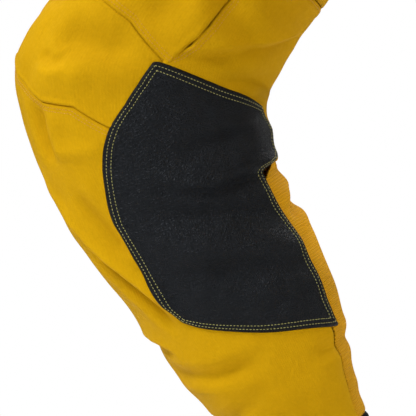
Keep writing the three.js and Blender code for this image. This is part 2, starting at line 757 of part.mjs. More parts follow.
const group = new THREE.Group();
const COLOURS = { shell: 0xc8960f, stretch: 0xc08a18, leather: 0x15161a, elastic: 0x1d1d1f, metal: 0xa9abad, tape: 0x222222 };
const MATERIALS = Object.fromEntries(
  Object.entries(COLOURS).map(([name, color]) => [
    name,
    new THREE.MeshStandardMaterial({
      color,
      roughness: name === "metal" ? 0.35 : 0.8,
      metalness: name === "metal" ? 0.9 : 0,
    }),
  ]),
);

function add(name, geometry, material) {
  const mesh = new THREE.Mesh(geometry, MATERIALS[material].clone());
  mesh.name = name;
  group.add(mesh);
  return mesh;
}

const LEG_MATERIALS = {
  inner_knee_leather: "leather",
  back_knee_panel: "shell",
  calf_stretch_panel: "stretch",
  cuff: "elastic",
};
for (const [side, pose] of Object.entries(STRIDE)) {
  for (const [name, geometry] of Object.entries(legPieces(pose)))
    add(side + "_" + name, geometry, LEG_MATERIALS[name] || "shell");
}

const middle = WAISTBAND_HEIGHT / 2;
const yokeBottom = WAISTBAND_HEIGHT + YOKE_HEIGHT;
const flyAngle = (FLY_HALF_GAP / (trunkFrame(60, 3).perRound / 180)) * 1.0;

for (const [side, sign] of [["right", 1], ["left", -1]]) {
  const span = (a, b) => (sign > 0 ? { from: a, to: b } : { from: -b, to: -a });
  add(side + "_front_waistband", band({ top: 0, bottom: WAISTBAND_HEIGHT, ...span(0, 90), rows: 1, cols: 10 }), "shell");
  add(side + "_front_yoke", band({ top: WAISTBAND_HEIGHT, bottom: yokeBottom, ...span(flyAngle, 90), rows: 3, cols: 10 }), "shell");
  add(side + "_zip_tape", zipTape(sign), "tape");
  add(
    side + "_adjuster_patch",
    band({ top: middle - STRAP.height / 2 - 2, bottom: middle + STRAP.height / 2 + 2, ...span(STRAP.from - 2, STRAP.from + 20), rows: 1, cols: 4, depth: [PLAY, PLAY + 1.2], inset: 0 }),
    "tape",
  );
  add(
    side + "_adjuster_tab",
    band({ top: middle - STRAP.height / 2, bottom: middle + STRAP.height / 2, ...span(STRAP.from, STRAP.to), rows: 1, cols: 6, depth: [2 * PLAY + 1.2, 2 * PLAY + 1.2 + STRAP.thick], inset: 0 }),
    "elastic",
  );
  add(
    side + "_adjuster_anchor",
    band({ top: middle - STRAP.height / 2 - 2, bottom: middle + STRAP.height / 2 + 2, ...span(STRAP.to + 1, STRAP.to + 12), rows: 1, cols: 2, depth: [PLAY, PLAY + 2.4], inset: 0 }),
    "shell",
  );
  add(side + "_crotch_gusset", crotchGusset(STRIDE[side]), "stretch");
  add(side + "_front_belt_loop", beltLoop(sign * 42), "shell");
  add(side + "_back_belt_loop", beltLoop(sign * 150), "shell");
}
add("back_waistband", band({ top: 0, bottom: WAISTBAND_HEIGHT, from: 90, to: 270, rows: 1, cols: 20 }), "elastic");
add("back_yoke", band({ top: WAISTBAND_HEIGHT, bottom: yokeBottom, from: 90, to: 270, rows: 3, cols: 20 }), "stretch");
add(
  "waist_tab",
  band({ top: middle - TAB.height / 2, bottom: middle + TAB.height / 2, from: TAB.from, to: TAB.to, rows: 1, cols: 8, depth: [TAB.stand, TAB.stand + TAB.thick], inset: 0 }),
  "shell",
);
add(
  "waist_tab_root",
  band({ top: middle - TAB.height / 2, bottom: middle + TAB.height / 2, from: TAB.to + 1.2, to: TAB.to + 9, rows: 1, cols: 2, depth: [PLAY, TAB.stand + TAB.thick], inset: 0 }),
  "shell",
);
add("snap_cap", snapDisc(SNAP.cap, TAB.stand + TAB.thick + 0.4, 2.2), "metal");
add("snap_post", snapDisc(SNAP.post, 0.4, TAB.stand - 0.9), "metal");
add("zip_slider", zipSlider(), "metal");
add("zip_pull", zipPull(), "metal");

export default group;
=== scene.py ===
"""Off-road riding pants in a long stride.

Woven cloth, pebbled leather inner-knee panels, ribbed stretch calves, elastic cuffs and waist hardware.
"""

import json
import math

import bmesh
import bpy
import numpy as np
from bpy.props import FloatProperty, FloatVectorProperty, IntProperty, PointerProperty
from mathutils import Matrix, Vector

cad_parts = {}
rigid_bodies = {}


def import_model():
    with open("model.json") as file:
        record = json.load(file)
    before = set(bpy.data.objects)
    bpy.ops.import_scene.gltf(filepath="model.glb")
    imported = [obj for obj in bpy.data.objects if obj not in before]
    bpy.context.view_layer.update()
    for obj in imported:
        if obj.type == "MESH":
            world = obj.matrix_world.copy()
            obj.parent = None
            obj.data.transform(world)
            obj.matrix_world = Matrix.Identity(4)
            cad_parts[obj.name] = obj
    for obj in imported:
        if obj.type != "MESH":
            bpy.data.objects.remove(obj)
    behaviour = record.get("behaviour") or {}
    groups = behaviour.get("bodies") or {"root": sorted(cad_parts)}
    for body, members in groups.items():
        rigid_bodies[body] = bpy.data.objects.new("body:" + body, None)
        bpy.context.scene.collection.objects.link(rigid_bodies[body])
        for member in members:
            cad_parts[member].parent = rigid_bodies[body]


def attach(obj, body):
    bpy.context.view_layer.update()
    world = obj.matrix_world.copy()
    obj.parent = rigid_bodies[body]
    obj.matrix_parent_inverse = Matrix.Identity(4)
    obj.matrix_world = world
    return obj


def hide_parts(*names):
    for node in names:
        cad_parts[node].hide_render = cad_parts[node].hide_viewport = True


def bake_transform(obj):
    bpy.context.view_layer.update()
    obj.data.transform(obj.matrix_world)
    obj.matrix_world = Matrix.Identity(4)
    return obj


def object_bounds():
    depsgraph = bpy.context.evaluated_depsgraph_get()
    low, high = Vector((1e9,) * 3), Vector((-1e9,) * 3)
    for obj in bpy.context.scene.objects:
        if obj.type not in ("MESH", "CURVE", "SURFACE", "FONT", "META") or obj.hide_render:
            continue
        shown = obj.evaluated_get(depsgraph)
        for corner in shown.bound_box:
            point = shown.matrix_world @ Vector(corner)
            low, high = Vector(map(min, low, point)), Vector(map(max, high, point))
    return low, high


bl_info = {
    "name": "Riding Pants",
    "version": (1, 0, 0),
    "blender": (4, 5, 0),
    "location": "3D View > Sidebar > Pants",
    "description": "Builds a pair of off-road riding pants round its frame",
    "category": "Add Mesh",
}

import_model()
CAD_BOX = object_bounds()
MM = 0.001

# ---- The garment's form, in millimetres ----------------------------------------------------------------------

HIP_DROP, CROTCH_DROP, THIGH, LEG_END = 120.0, 245.0, 430.0, 800.0
BEND_RADIUS, SPREAD, KNEE_SPREAD, FULLNESS = 145.0, 100.0, 12.0, 0.735
TRUNK = ((0, 118, 114, 156), (45, 121, 119, 161), (120, 127, 132, 176), (165, 124, 142, 187))
CROTCH = {"front": 104.0, "back": 110.0, "half": 93.0, "x": 2.0, "swing": 60.0}
LEG = (
    (190, 98, 97, 87), (240, 98, 96, 84), (290, 99, 97, 82), (350, 106, 103, 79), (378, 113, 104, 79),
    (407, 122, 104, 78), (448, 108, 104, 76), (490, 97, 104, 74), (518, 92, 97, 73), (556, 88, 92, 72),
    (600, 83, 88, 70), (650, 79, 82, 67), (705, 66, 67, 60), (760, 50, 50, 48), (800, 45, 45, 45),
)
POSES = {"right": {"sign": 1, "hip": 38.0, "knee": 68.6}, "left": {"sign": -1, "hip": -22.0, "knee": 26.0}}
SIDES = ("right", "left")


def smooth(x, a, b):
    t = np.clip((np.asarray(x, float) - a) / (b - a), 0, 1)
    return t * t * (3 - 2 * t)


def station(pose, along):
    """Centre, forward direction and downward direction of a leg at a distance below the hip joint."""
    bend = math.radians(pose["knee"])
    tangent = BEND_RADIUS * math.tan(bend / 2)
    start = THIGH - tangent
    past = min(max(along - start, 0), BEND_RADIUS * bend)
    down = lambda a: np.array([-math.sin(a), 0, -math.cos(a)])
    ahead = lambda a: np.array([-math.cos(a), 0, math.sin(a)])
    first = math.radians(pose["hip"])
    angle = first - past / BEND_RADIUS
    centre = down(first) * min(along, start) + np.array([0, 0, -HIP_DROP])
    centre = centre - ahead(first) * BEND_RADIUS + ahead(angle) * BEND_RADIUS
    centre = centre + down(angle) * max(0, along - start - BEND_RADIUS * bend)
    centre[1] = pose["sign"] * (SPREAD + float(smooth(along, LEG[0][0], THIGH)) * KNEE_SPREAD)
    return centre, ahead(angle), down(angle)


def loop_point(centre, ahead, front, back, half, share, sign):
    a = 2 * math.pi * share
    full = FULLNESS / math.sqrt(0.5) if abs(math.sin(2 * a)) > 0.9 else 1.0
    depth = (front if math.sin(a) > 0 else back) * math.sin(a) * full
    return centre + ahead * depth + np.array([0, -sign * half * math.cos(a) * full, 0])


def form_rows(pose):
    """Every row of the form: its distance below the waist edge and the points that it passes through."""
    sign = pose["sign"]
    tilt = math.radians(pose["hip"] / 2)
    ahead = np.array([-math.cos(tilt), 0, math.sin(tilt)])
    moved = CROTCH["swing"] * math.sin(math.radians(pose["hip"]))

    def trunk(row, share):
        drop, front, back, side = row
        a = math.pi * share
        return np.array([-(front if share < 0.5 else back) * math.cos(a), sign * side * math.sin(a), -drop])

    def crotch(share):
        centre = np.array([CROTCH["x"], sign * CROTCH["half"], -CROTCH_DROP])
        return loop_point(centre, ahead, CROTCH["front"] + moved, CROTCH["back"] - moved, CROTCH["half"], share, sign)

    def under(share):
        a, b = trunk(TRUNK[-1], share), crotch(share)
        s = math.sqrt(0.5)
        return np.array([a[0] + (b[0] - a[0]) * (1 - s), a[1] + (b[1] - a[1]) * (1 - s), a[2] + (b[2] - a[2]) * s])

    def opened(f):
        line = [f(k / 8) for k in range(9)]
        flip = np.array([1, -1, 1])
        return [line[1] * flip, *line, line[7] * flip]

    closed = lambda f: [f(k / 8) for k in range(-1, 10)]
    rows = [(r[0], opened(lambda s, r=r: trunk(r, s))) for r in TRUNK]
    rows.append(((TRUNK[-1][0] + CROTCH_DROP) / 2, opened(under)))
    rows.append((CROTCH_DROP, closed(crotch)))
    for along, front, back, half in LEG:
        centre, forward, _ = station(pose, along)
        ring = lambda s, c=centre, f=forward, q=(front, back, half): loop_point(c, f, *q, s, sign)
        rows.append((along + HIP_DROP, closed(ring)))
    return np.array([r[0] for r in rows]), np.array([r[1] for r in rows])


for _pose in POSES.values():
    _pose["downs"], _pose["points"] = form_rows(_pose)


def hermite(p0, p1, m0, m1, t):
    t = t[:, None]
    return p0 * (2 * t**3 - 3 * t**2 + 1) + m0 * (t**3 - 2 * t**2 + t) + p1 * (3 * t**2 - 2 * t**3) + m1 * (t**3 - t**2)


def bare_form(pose, down, share):
    """Points of the smooth form at distances below the waist edge and shares of the way round."""
    downs, pts = pose["downs"], pose["points"]
    n = len(downs)
    turn = np.where(down >= CROTCH_DROP, share - np.floor(share), np.clip(share, 0, 1))
    place = np.clip(turn, 0, 1) * 8
    k = np.minimum(7, place.astype(int))
    f = place - k

    def at(j):
        p = pts[j]
        i = np.arange(len(k))
        a, b, c, d = p[i, k], p[i, k + 1], p[i, k + 2], p[i, k + 3]
        return hermite(b, c, (c - a) / 2, (d - b) / 2, f)

    i = np.clip(np.searchsorted(downs, down, side="right") - 1, 0, n - 2)
    lo, hi = np.maximum(i - 1, 0), np.minimum(i + 2, n - 1)
    span = (downs[i + 1] - downs[i])[:, None]
    p_lo, p_i, p_j, p_hi = at(lo), at(i), at(i + 1), at(hi)
    m_i = (p_j - p_lo) * span / (downs[i + 1] - downs[lo])[:, None]
    m_j = (p_hi - p_i) * span / (downs[hi] - downs[i])[:, None]
    beside = smooth(np.minimum(turn, 1 - turn), 0, 0.25)[:, None]
    from_crotch = (downs[i] == CROTCH_DROP)[:, None]
    to_crotch = (downs[i + 1] == CROTCH_DROP)[:, None]
    m_i = np.where(from_crotch, (p_j - p_i) * (1 - beside) + m_i * beside, m_i)
    m_j = np.where(to_crotch, (p_j - p_i) * (1 - beside) + m_j * beside, m_j)
    return hermite(p_i, p_j, m_i, m_j, (down - downs[i]) / (downs[i + 1] - downs[i]))


def form(side, down, share):
    """Points and outward normals of the smooth form. For the waist, a share counts from the centre front both ways."""
    if side == "waist":
        turned = (np.asarray(share, float).ravel() + 1) % 2 - 1
        point, normal = form("right", down, np.abs(turned))
        mirror = np.where(turned < 0, -1, 1)[:, None] * np.array([[0, 1, 0]]) + np.array([[1, 0, 1]])
        return point * mirror, normal * mirror
    pose = POSES[side]
    down, share = np.asarray(down, float).ravel(), np.asarray(share, float).ravel()
    last = pose["downs"][-1]
    a = bare_form(pose, np.maximum(down - 1.5, 0), share)
    b = bare_form(pose, np.minimum(down + 1.5, last), share)
    shut = down >= CROTCH_DROP
    c = bare_form(pose, down, np.where(shut, share - 0.004, np.maximum(share - 0.004, 0)))
    d = bare_form(pose, down, np.where(shut, share + 0.004, np.minimum(share + 0.004, 1)))
    normal = np.cross(d - c, b - a) * pose["sign"]
    normal /= np.maximum(np.linalg.norm(normal, axis=1, keepdims=True), 1e-9)
    return bare_form(pose, down, share), normal


# ---- Folds ---------------------------------------------------------------------------------------------------
# Each is a line of (distance below the hip joint, share of the way round), its kind, height and widths.

AROUND = 575.0  # length of the way round the leg, for distances on it
STEP_SOFTNESS = 5.5  # half the width over which a step changes level
LOWEST_FOLD, HIGHEST_FOLD = -9, 11

KNEE_FOLDS = (
    (
        [
            (534, -0.30), (532, -0.24), (530, -0.19), (528, -0.14), (525, -0.098), (522, -0.053), (508, -0.013),
            (492, 0.012), (482, 0.03)
        ],
        "step", 3.6, 16.0, 5.0, 13.0
    ),
    (
        [
            (384, -0.01), (372, -0.035), (359, -0.063), (343, -0.088), (329, -0.112), (303, -0.17), (287, -0.207),
            (281, -0.25)
        ],
        "step", 4.8, 22.0, 4.2, 15.0
    ),
    ([(395, -0.09), (376, -0.125), (352, -0.165), (342, -0.2)], "valley", 2.2, 10.0, 0, 0),
    ([(612, -0.17), (603, -0.13), (578, -0.04), (561, 0.02), (546, 0.08)], "ridge", 3.6, 14.0, 0, 0),
    ([(625, -0.17), (618, -0.132), (596, -0.04), (582, 0.02), (566, 0.08)], "valley", 2.6, 11.0, 0, 0),
    ([(511, 0.055), (524, 0.015), (537, -0.018), (551, -0.076), (571, -0.14)], "valley", 3.0, 8.0, 0, 0),
    ([(470, 0.0), (478, -0.05), (480, -0.11), (478, -0.16)], "valley", 1.8, 12.0, 0, 0),
    ([(560, -0.29), (567, -0.24), (573, -0.2), (580, -0.165)], "valley", 4.6, 8.0, 0, 0),
    ([(640, -0.02), (636, -0.08), (640, -0.13)], "valley", 1.6, 9.0, 0, 0),
)
FRONT_FOLDS = (
    ([(383, 0.14), (387, 0.093), (389, 0.054), (378, 0.022)], "valley", 3.4, 11.0, 0, 0),
    ([(418, 0.17), (402, 0.078), (387, 0.020)], "ridge", 3.2, 11.0, 0, 0),
    ([(398, 0.145), (402, 0.117), (400, 0.095)], "valley", 2.2, 3.6, 0, 0),
    ([(370, 0.25), (362, 0.2), (366, 0.15)], "valley", 2.6, 10.0, 0, 0),
    ([(422, 0.15), (439, 0.157), (460, 0.156)], "valley", 3.8, 8.0, 0, 0),
    ([(453, 0.15), (454, 0.097), (458, 0.058)], "ridge", 1.8, 5.5, 0, 0),
    (
        [(450, 0.23), (490, 0.180), (509, 0.162), (530, 0.143), (560, 0.121), (587, 0.108), (612, 0.100)], "ridge",
        3.4, 6.5, 0, 0
    ),
    ([(500, 0.215), (518, 0.195), (544, 0.163), (573, 0.138), (597, 0.126), (618, 0.108)], "valley", 3.4, 7.5, 0, 0),
    ([(470, 0.145), (500, 0.125), (540, 0.112)], "valley", 2.4, 9.0, 0, 0),
    ([(600, 0.29), (606, 0.245), (616, 0.20), (632, 0.15)], "step", 3.4, 12.0, 3.0, 9.0),
    ([(640, 0.25), (650, 0.18), (664, 0.10), (674, 0.0)], "valley", 2.4, 8.0, 0, 0),
    ([(300, 0.05), (330, 0.02), (366, 0.012)], "valley", 2.4, 14.0, 0, 0),
    ([(250, 0.1), (300, 0.12), (340, 0.17)], "ridge", 3.2, 20.0, 0, 0),
    ([(300, -0.02), (318, -0.08), (322, -0.14)], "valley", 2.2, 12.0, 0, 0),
)
LOW_FOLDS = tuple(
    ([(along, 0.05 + 0.37 * k), (along + 7, 0.2 + 0.37 * k), (along + 2, 0.36 + 0.37 * k)], "valley", 2.6, 6.5, 0, 0)
    for along, k in ((700, 0), (716, 1), (733, 0.4), (690, 1.6), (744, 1.3))
)
HIP_FOLDS = (
    ([(128, 0.03), (112, 0.1), (84, 0.19), (52, 0.28)], "step", 6.0, 17.0, 4.0, 13.0),
    ([(150, 0.03), (146, 0.12), (128, 0.22), (104, 0.33)], "valley", 4.5, 11.0, 0, 0),
    ([(186, 0.02), (182, 0.11), (170, 0.2)], "valley", 3.2, 10.0, 0, 0),
    ([(138, -0.03), (150, -0.11), (152, -0.22), (140, -0.33)], "step", 5.5, 16.0, 4.0, 13.0),
    ([(176, -0.03), (190, -0.12), (192, -0.24)], "valley", 3.2, 11.0, 0, 0),
    ([(222, 0.06), (228, 0.16), (220, 0.27)], "valley", 2.4, 12.0, 0, 0),
)


def around_back(line, k=0.5):
    """The same fold on the other side of the leg."""
    return [(a + 6 * math.sin(9 * s), k - s) for a, s in line]


def scaled(folds, gain, place=list):
    """The folds with the share of their height that they keep, each line put where place says."""
    return [(place(line), *rest, gain) for line, *rest in folds]


FOLDS = {
    "right": scaled(KNEE_FOLDS + LOW_FOLDS, 1.0)
    + scaled(FRONT_FOLDS, 1.6)
    + scaled(KNEE_FOLDS + FRONT_FOLDS, 0.35, around_back)
    + scaled(HIP_FOLDS, 1.0),
    "waist": [],
    "left": scaled(KNEE_FOLDS + FRONT_FOLDS, 0.5)
    + scaled(KNEE_FOLDS + FRONT_FOLDS, 0.45, around_back)
    + scaled(LOW_FOLDS + HIP_FOLDS, 0.9),
}


def fold_height(along, share, fold):
    line, kind, high, wide, low, wide2, gain = fold
    pts = np.array([(a, s * AROUND) for a, s in line])
    # nearest copy of the way round, so that a fold reaches past the inseam
    middle = pts[:, 1].mean() / AROUND
    s = share - np.round(share - middle)
    p = np.stack([along, s * AROUND], 1)
    steps = np.linalg.norm(np.diff(pts, axis=0), axis=1)
    total = steps.sum()
    best = np.full(len(p), 1e9)
    signed = np.zeros(len(p))
    where = np.zeros(len(p))
    run = 0.0
    for a, b, length in zip(pts[:-1], pts[1:], steps):
        d = (b - a) / length
        rel = p - a
        t = np.clip(rel @ d, 0, length)
        off = rel - t[:, None] * d
        dist = np.linalg.norm(off, axis=1)
        nearer = dist < best
        best = np.where(nearer, dist, best)
        signed = np.where(nearer, np.sign(off[:, 0]) * dist, signed)
        where = np.where(nearer, run + t, where)
        run += length
    ends = smooth(where, -1, 0.28 * total) * smooth(total - where, -1, 0.28 * total)
    if kind == "ridge":
        shape = high * np.exp(-((best / wide) ** 2))
    elif kind == "valley":
        shape = -high * np.exp(-((best / wide) ** 2)) + 0.4 * high * np.exp(-(((best - 1.9 * wide) / wide) ** 2))
    else:
        above = high * np.exp(-np.clip(-signed, 0, None) / wide)
        below = -low * np.exp(-np.clip(signed, 0, None) / wide2)
        shape = above + (below - above) * smooth(signed, -STEP_SOFTNESS, STEP_SOFTNESS)
    return shape * ends * gain


_rng = np.random.default_rng(7)
_WAVES = [(_rng.normal(size=3), _rng.uniform(0, 6.28), 1.0) for _ in range(22)]


def soft_waves(points, size, height):
    """Gentle unevenness of worn cloth: waves about size apart, and height high."""
    total = np.zeros(len(points))
    for direction, phase, _ in _WAVES:
        d = direction / np.linalg.norm(direction)
        total += np.sin(points @ d * (2 * math.pi / size) * (0.6 + 0.5 * abs(direction[0])) + phase)
    return total * height / math.sqrt(len(_WAVES) / 2)


def creases(side, down, share, points):
    """How far the cloth stands off the smooth form."""
    along = down - HIP_DROP
    total = np.zeros(len(down))
    for fold in FOLDS[side]:
        total += fold_height(along, share, fold)
    leg = smooth(along, 20, 150)
    total *= smooth(LEG_END - 40 - along, 0, 40)
    total += soft_waves(points, 95, 0.9) * (0.35 + 0.65 * leg) * smooth(down, 40, 90)
    total += soft_waves(points, 31, 0.28) * (0.4 + 0.6 * leg) * smooth(down, 40, 90)
    return np.clip(total, LOWEST_FOLD, HIGHEST_FOLD)


# ---- Sewn panels ---------------------------------------------------------------------------------------------


def edge(*points):
    pts = np.array(points, float)
    return lambda s: np.stack(
        [np.interp(np.asarray(s, float) * (len(pts) - 1), np.arange(len(pts)), pts[:, k]) for k in (0, 1)], -1
    )


def sideline(*points):
    """An edge that runs down the garment, paced by its distance below the hip joint."""
    pts = np.array(points, float)

    def at(s):
        a = pts[0, 0] + (pts[-1, 0] - pts[0, 0]) * np.asarray(s, float)
        return np.stack([a + HIP_DROP, np.interp(a, pts[:, 0], pts[:, 1])], -1)

    return at


def crossline(*points):
    """An edge that runs round the garment, paced by its share of the way round."""
    pts = np.array(points, float)

    def at(s):
        share = pts[0, 1] + (pts[-1, 1] - pts[0, 1]) * np.asarray(s, float)
        return np.stack([np.interp(share, pts[:, 1], pts[:, 0]) + HIP_DROP, share], -1)

    return at


def smooth_edge(*points):
    """As edge, but rounded off at its corners and evenly spaced along its length."""
    pts = np.array(points, float)
    scale = np.array([1, AROUND])
    for _ in range(2):
        q = [pts[0]]
        for a, b in zip(pts[:-1], pts[1:]):
            q += [a * 0.75 + b * 0.25, a * 0.25 + b * 0.75]
        pts = np.array(q + [pts[-1]])
    run = np.concatenate([[0], np.cumsum(np.linalg.norm(np.diff(pts * scale, axis=0), axis=1))])
    return lambda s: np.stack([np.interp(np.asarray(s, float) * run[-1], run, pts[:, k]) for k in (0, 1)], -1)


def coons(top, bottom, left, right, rows, cols):
    t = np.linspace(0, 1, rows + 1)[:, None, None]
    s = np.linspace(0, 1, cols + 1)[None, :, None]
    st, ss = t[:, 0, 0], s[0, :, 0]
    a, b = top(ss)[None], bottom(ss)[None]
    c, d = left(st)[:, None], right(st)[:, None]
    p00, p01, p10, p11 = top(0.0), top(1.0), bottom(0.0), bottom(1.0)
    rails = (1 - t) * a + t * b + (1 - s) * c + s * d
    return rails - (1 - t) * ((1 - s) * p00 + s * p01) - t * ((1 - s) * p10 + s * p11)


def run_lengths(points, axis):
    step = np.linalg.norm(np.diff(points, axis=axis), axis=2)
    pad = [(0, 0), (0, 0)]
    pad[axis] = (1, 0)
    return np.cumsum(np.pad(step, pad), axis=axis)


def walled_mesh(name, outer, inner, uv, painted_fold_light, closed=False):
    """A sheet between two grids of points, in metres, with its own UV map and a fold-height attribute that the finishes
    turn into painted shade and painted highlight.
    """
    rows, cols = outer.shape[:2]
    n = rows * cols
    co = np.concatenate([outer.reshape(-1, 3), inner.reshape(-1, 3)])
    idx = np.arange(n).reshape(rows, cols)
    if closed:
        idx = np.concatenate([idx, idx[:, :1]], 1)
    a, b, c, d = idx[:-1, :-1].ravel(), idx[1:, :-1].ravel(), idx[1:, 1:].ravel(), idx[:-1, 1:].ravel()
    faces = [np.stack([a, b, c, d], 1), np.stack([a, d, c, b], 1) + n]
    rims = [(idx[0, :-1], idx[0, 1:]), (idx[-1, 1:], idx[-1, :-1])]
    if not closed:
        rims += [(idx[1:, 0], idx[:-1, 0]), (idx[:-1, -1], idx[1:, -1])]
    for p, q in rims:
        faces.append(np.stack([p, q, q + n, p + n], 1))
    faces = np.concatenate(faces)
    mesh = bpy.data.meshes.new(name)
    mesh.vertices.add(len(co))
    mesh.vertices.foreach_set("co", co.astype(np.float32).ravel())
    mesh.loops.add(len(faces) * 4)
    mesh.loops.foreach_set("vertex_index", faces.astype(np.int32).ravel())
    mesh.polygons.add(len(faces))
    mesh.polygons.foreach_set("loop_start", np.arange(0, len(faces) * 4, 4, dtype=np.int32))
    mesh.update(calc_edges=True)
    mesh.validate()
    layer = mesh.uv_layers.new(name="cloth")
    flat = np.concatenate([uv.reshape(-1, 2)] * 2)
    loops = np.zeros(len(mesh.loops), np.int32)
    mesh.loops.foreach_get("vertex_index", loops)
    layer.data.foreach_set("uv", flat[loops].astype(np.float32).ravel())
    attribute = mesh.attributes.new("painted_fold_light", "FLOAT", "POINT")
    attribute.data.foreach_set("value", np.concatenate([painted_fold_light.ravel()] * 2).astype(np.float32))
    mesh.polygons.foreach_set("use_smooth", np.ones(len(mesh.polygons), bool))
    obj = bpy.data.objects.new(name, mesh)
    bpy.context.scene.collection.objects.link(obj)
    volume = 0.0
    tri = co[faces[:, [0, 1, 2]]]
    volume += np.einsum("ij,ij->i", tri[:, 0], np.cross(tri[:, 1], tri[:, 2])).sum()
    tri = co[faces[:, [0, 2, 3]]]
    volume += np.einsum("ij,ij->i", tri[:, 0], np.cross(tri[:, 1], tri[:, 2])).sum()
    if volume < 0:
        mesh.flip_normals()
    return obj


class Sewn:
    """One sewn panel: its grid on the form, and after build() its outer surface, for stitches to lie on."""

    def __init__(self, side, edges, step, thick=1.5, lift=0.0, fold_gain=1.0):
        self.side, self.thick, self.lift = side, thick, lift
        probe = coons(*edges, 8, 8)
        p = form(side, probe[..., 0], probe[..., 1])[0].reshape(9, 9, 3)
        rows = int(max(run_lengths(p, 0)[-1].max() / step, 8))
        cols = int(max(run_lengths(p, 1)[:, -1].max() / step, 8))
        self.place = coons(*edges, rows, cols)
        self.down, self.share = self.place[..., 0], self.place[..., 1]
        base, normal = form(side, self.down, self.share)
        height = creases(side, self.down.ravel(), self.share.ravel(), base) * fold_gain
        shape = self.down.shape
        self.base, self.normal = base.reshape(*shape, 3), normal.reshape(*shape, 3)
        self.height = height.reshape(shape)
        across, along = run_lengths(self.base, 1), run_lengths(self.base, 0)
        self.from_edge = {
            "left": across, "right": across[:, -1:] - across, "top": along, "bottom": along[-1:] - along
        }
        self.relief = np.zeros(shape)
        cell = np.cross(self.base[1:, 1:] - self.base[:-1, :-1], self.base[1:, :-1] - self.base[:-1, 1:])
        self.area = float(np.linalg.norm(cell, axis=2).sum()) * 0.5 * MM**2
        self.size = (float(across[:, -1].mean()) * MM, float(along[-1].mean()) * MM)

    def roll(self, names, width=1.6, depth=1.0):
        """Rounds the outside down at these edges."""
        for n in names:
            self.relief -= depth * np.exp(-((self.from_edge[n] / width) ** 2))
        return self

    def raise_edge(self, names, width=7.0, height=0.8):
        """The folded allowance under an edge lifts it a little."""
        for n in names:
            self.relief += height * (1 - smooth(self.from_edge[n], width * 0.75, width * 1.15))
        return self

    def tuck(self, names, width=9.0, depth=2.4):
        """An edge that runs on under its neighbour."""
        for n in names:
            self.relief -= depth * (1 - smooth(self.from_edge[n], width * 0.5, width))
        return self

    def groove(self, names, distance, depth=0.45, width=1.1):
        """The dent a row of topstitches pulls in."""
        for n in names:
            wobble = 1 + 0.35 * np.sin(self.down * 0.9 + self.share * 700)
            self.relief -= depth * wobble * np.exp(-(((self.from_edge[n] - distance) / width) ** 2))
        return self

    def ribs(self, count, height):
        """Knitted ribs that run down the piece."""
        self.relief += height * np.sin(2 * math.pi * count * self.share)
        return self

    def arch(self, height, run):
        """Stands the middle off what it is sewn to, as a belt loop does."""
        ends = np.minimum(self.from_edge["top"], self.from_edge["bottom"])
        self.relief += height * smooth(ends, 3, 3 + run)
        return self

    def build(self, name, material):
        top = self.lift + self.height + self.relief
        self.outer = self.base + self.normal * top[..., None]
        inner = self.base + self.normal * (self.lift + self.height - self.thick + np.minimum(self.relief, 0) * 0.2)[
            ..., None
        ]
        du, dv = np.gradient(self.outer, axis=1), np.gradient(self.outer, axis=0)
        n = np.cross(du, dv)
        n /= np.maximum(np.linalg.norm(n, axis=2, keepdims=True), 1e-9)
        self.facing = n * np.sign((n * self.normal).sum(2, keepdims=True))
        uv = np.stack([self.share * AROUND * MM, self.down * MM], -1)
        # fold height as 0 to 1: the finishes paint shade into the low values (fold valleys) and highlight onto the high
        # ones (fold ridges)
        painted_fold_light = np.clip(0.5 + self.height * 0.06, 0, 1)
        self.obj = walled_mesh(name, self.outer * MM, inner * MM, uv, painted_fold_light)
        self.obj.data.materials.append(material)
        return self

    def seam(self, which, distance, stop=None, trim=(0.0, 0.0)):
        """Evenly spaced places for stitches, a distance in from one edge, as (point, tangent, normal)."""
        d = self.from_edge[which]
        rows, cols = d.shape
        places = []
        if which in ("left", "right"):
            for i in range(rows):
                line = d[i] if which == "left" else d[i][::-1]
                j = np.interp(distance, line, np.arange(cols))
                places.append((i, j if which == "left" else cols - 1 - j))
        else:
            for j in range(cols):
                line = d[:, j] if which == "top" else d[::-1, j]
                i = np.interp(distance, line, np.arange(rows))
                places.append((i if which == "top" else rows - 1 - i, j))
        places = np.array(places)
        point, normal = self.sample(self.outer, places), self.sample(self.facing, places)
        run = np.concatenate([[0], np.cumsum(np.linalg.norm(np.diff(point, axis=0), axis=1))])
        low = trim[0]
        high = run[-1] - trim[1] if stop is None else stop
        return point, normal, run, low, high

    def sample(self, grid, places):
        i, j = np.clip(places[:, 0], 0, grid.shape[0] - 1.001), np.clip(places[:, 1], 0, grid.shape[1] - 1.001)
        i0, j0 = i.astype(int), j.astype(int)
        fi, fj = (i - i0)[:, None], (j - j0)[:, None]
        return grid[i0, j0] * (1 - fi) * (1 - fj) + grid[
            i0 + 1, j0
        ] * fi * (1 - fj) + grid[i0, j0 + 1] * (1 - fi) * fj + grid[
            i0 + 1, j0 + 1
        ] * fi * fj


def stitch_row(line, pitch):
    point, normal, run, low, high = line
    count = int((high - low) / pitch)
    if count < 2:
        return np.zeros((0, 9))
    at = low + (np.arange(count) + 0.5) * (high - low) / count
    get = lambda grid, x: np.stack([np.interp(x, run, grid[:, k]) for k in range(3)], 1)
    p, n = get(point, at), get(normal, at)
    tangent = get(point, at + pitch * 0.3) - get(point, at - pitch * 0.3)
    tangent /= np.maximum(np.linalg.norm(tangent, axis=1, keepdims=True), 1e-9)
    n /= np.maximum(np.linalg.norm(n, axis=1, keepdims=True), 1e-9)
    return np.concatenate([p, tangent, n], 1)


# ---- Materials -----------------------------------------------------------------------------------------------


def group(name, inputs, outputs):
    tree = bpy.data.node_groups.new(name, "ShaderNodeTree")
    for kind, label, value in inputs:
        socket = tree.interface.new_socket(label, in_out="INPUT", socket_type=f"NodeSocket{kind}")
        if value is not None:
            socket.default_value = value
    for kind, label in outputs:
        tree.interface.new_socket(label, in_out="OUTPUT", socket_type=f"NodeSocket{kind}")
    return tree, Wiring(tree), tree.nodes.new("NodeGroupInput"), tree.nodes.new("NodeGroupOutput")


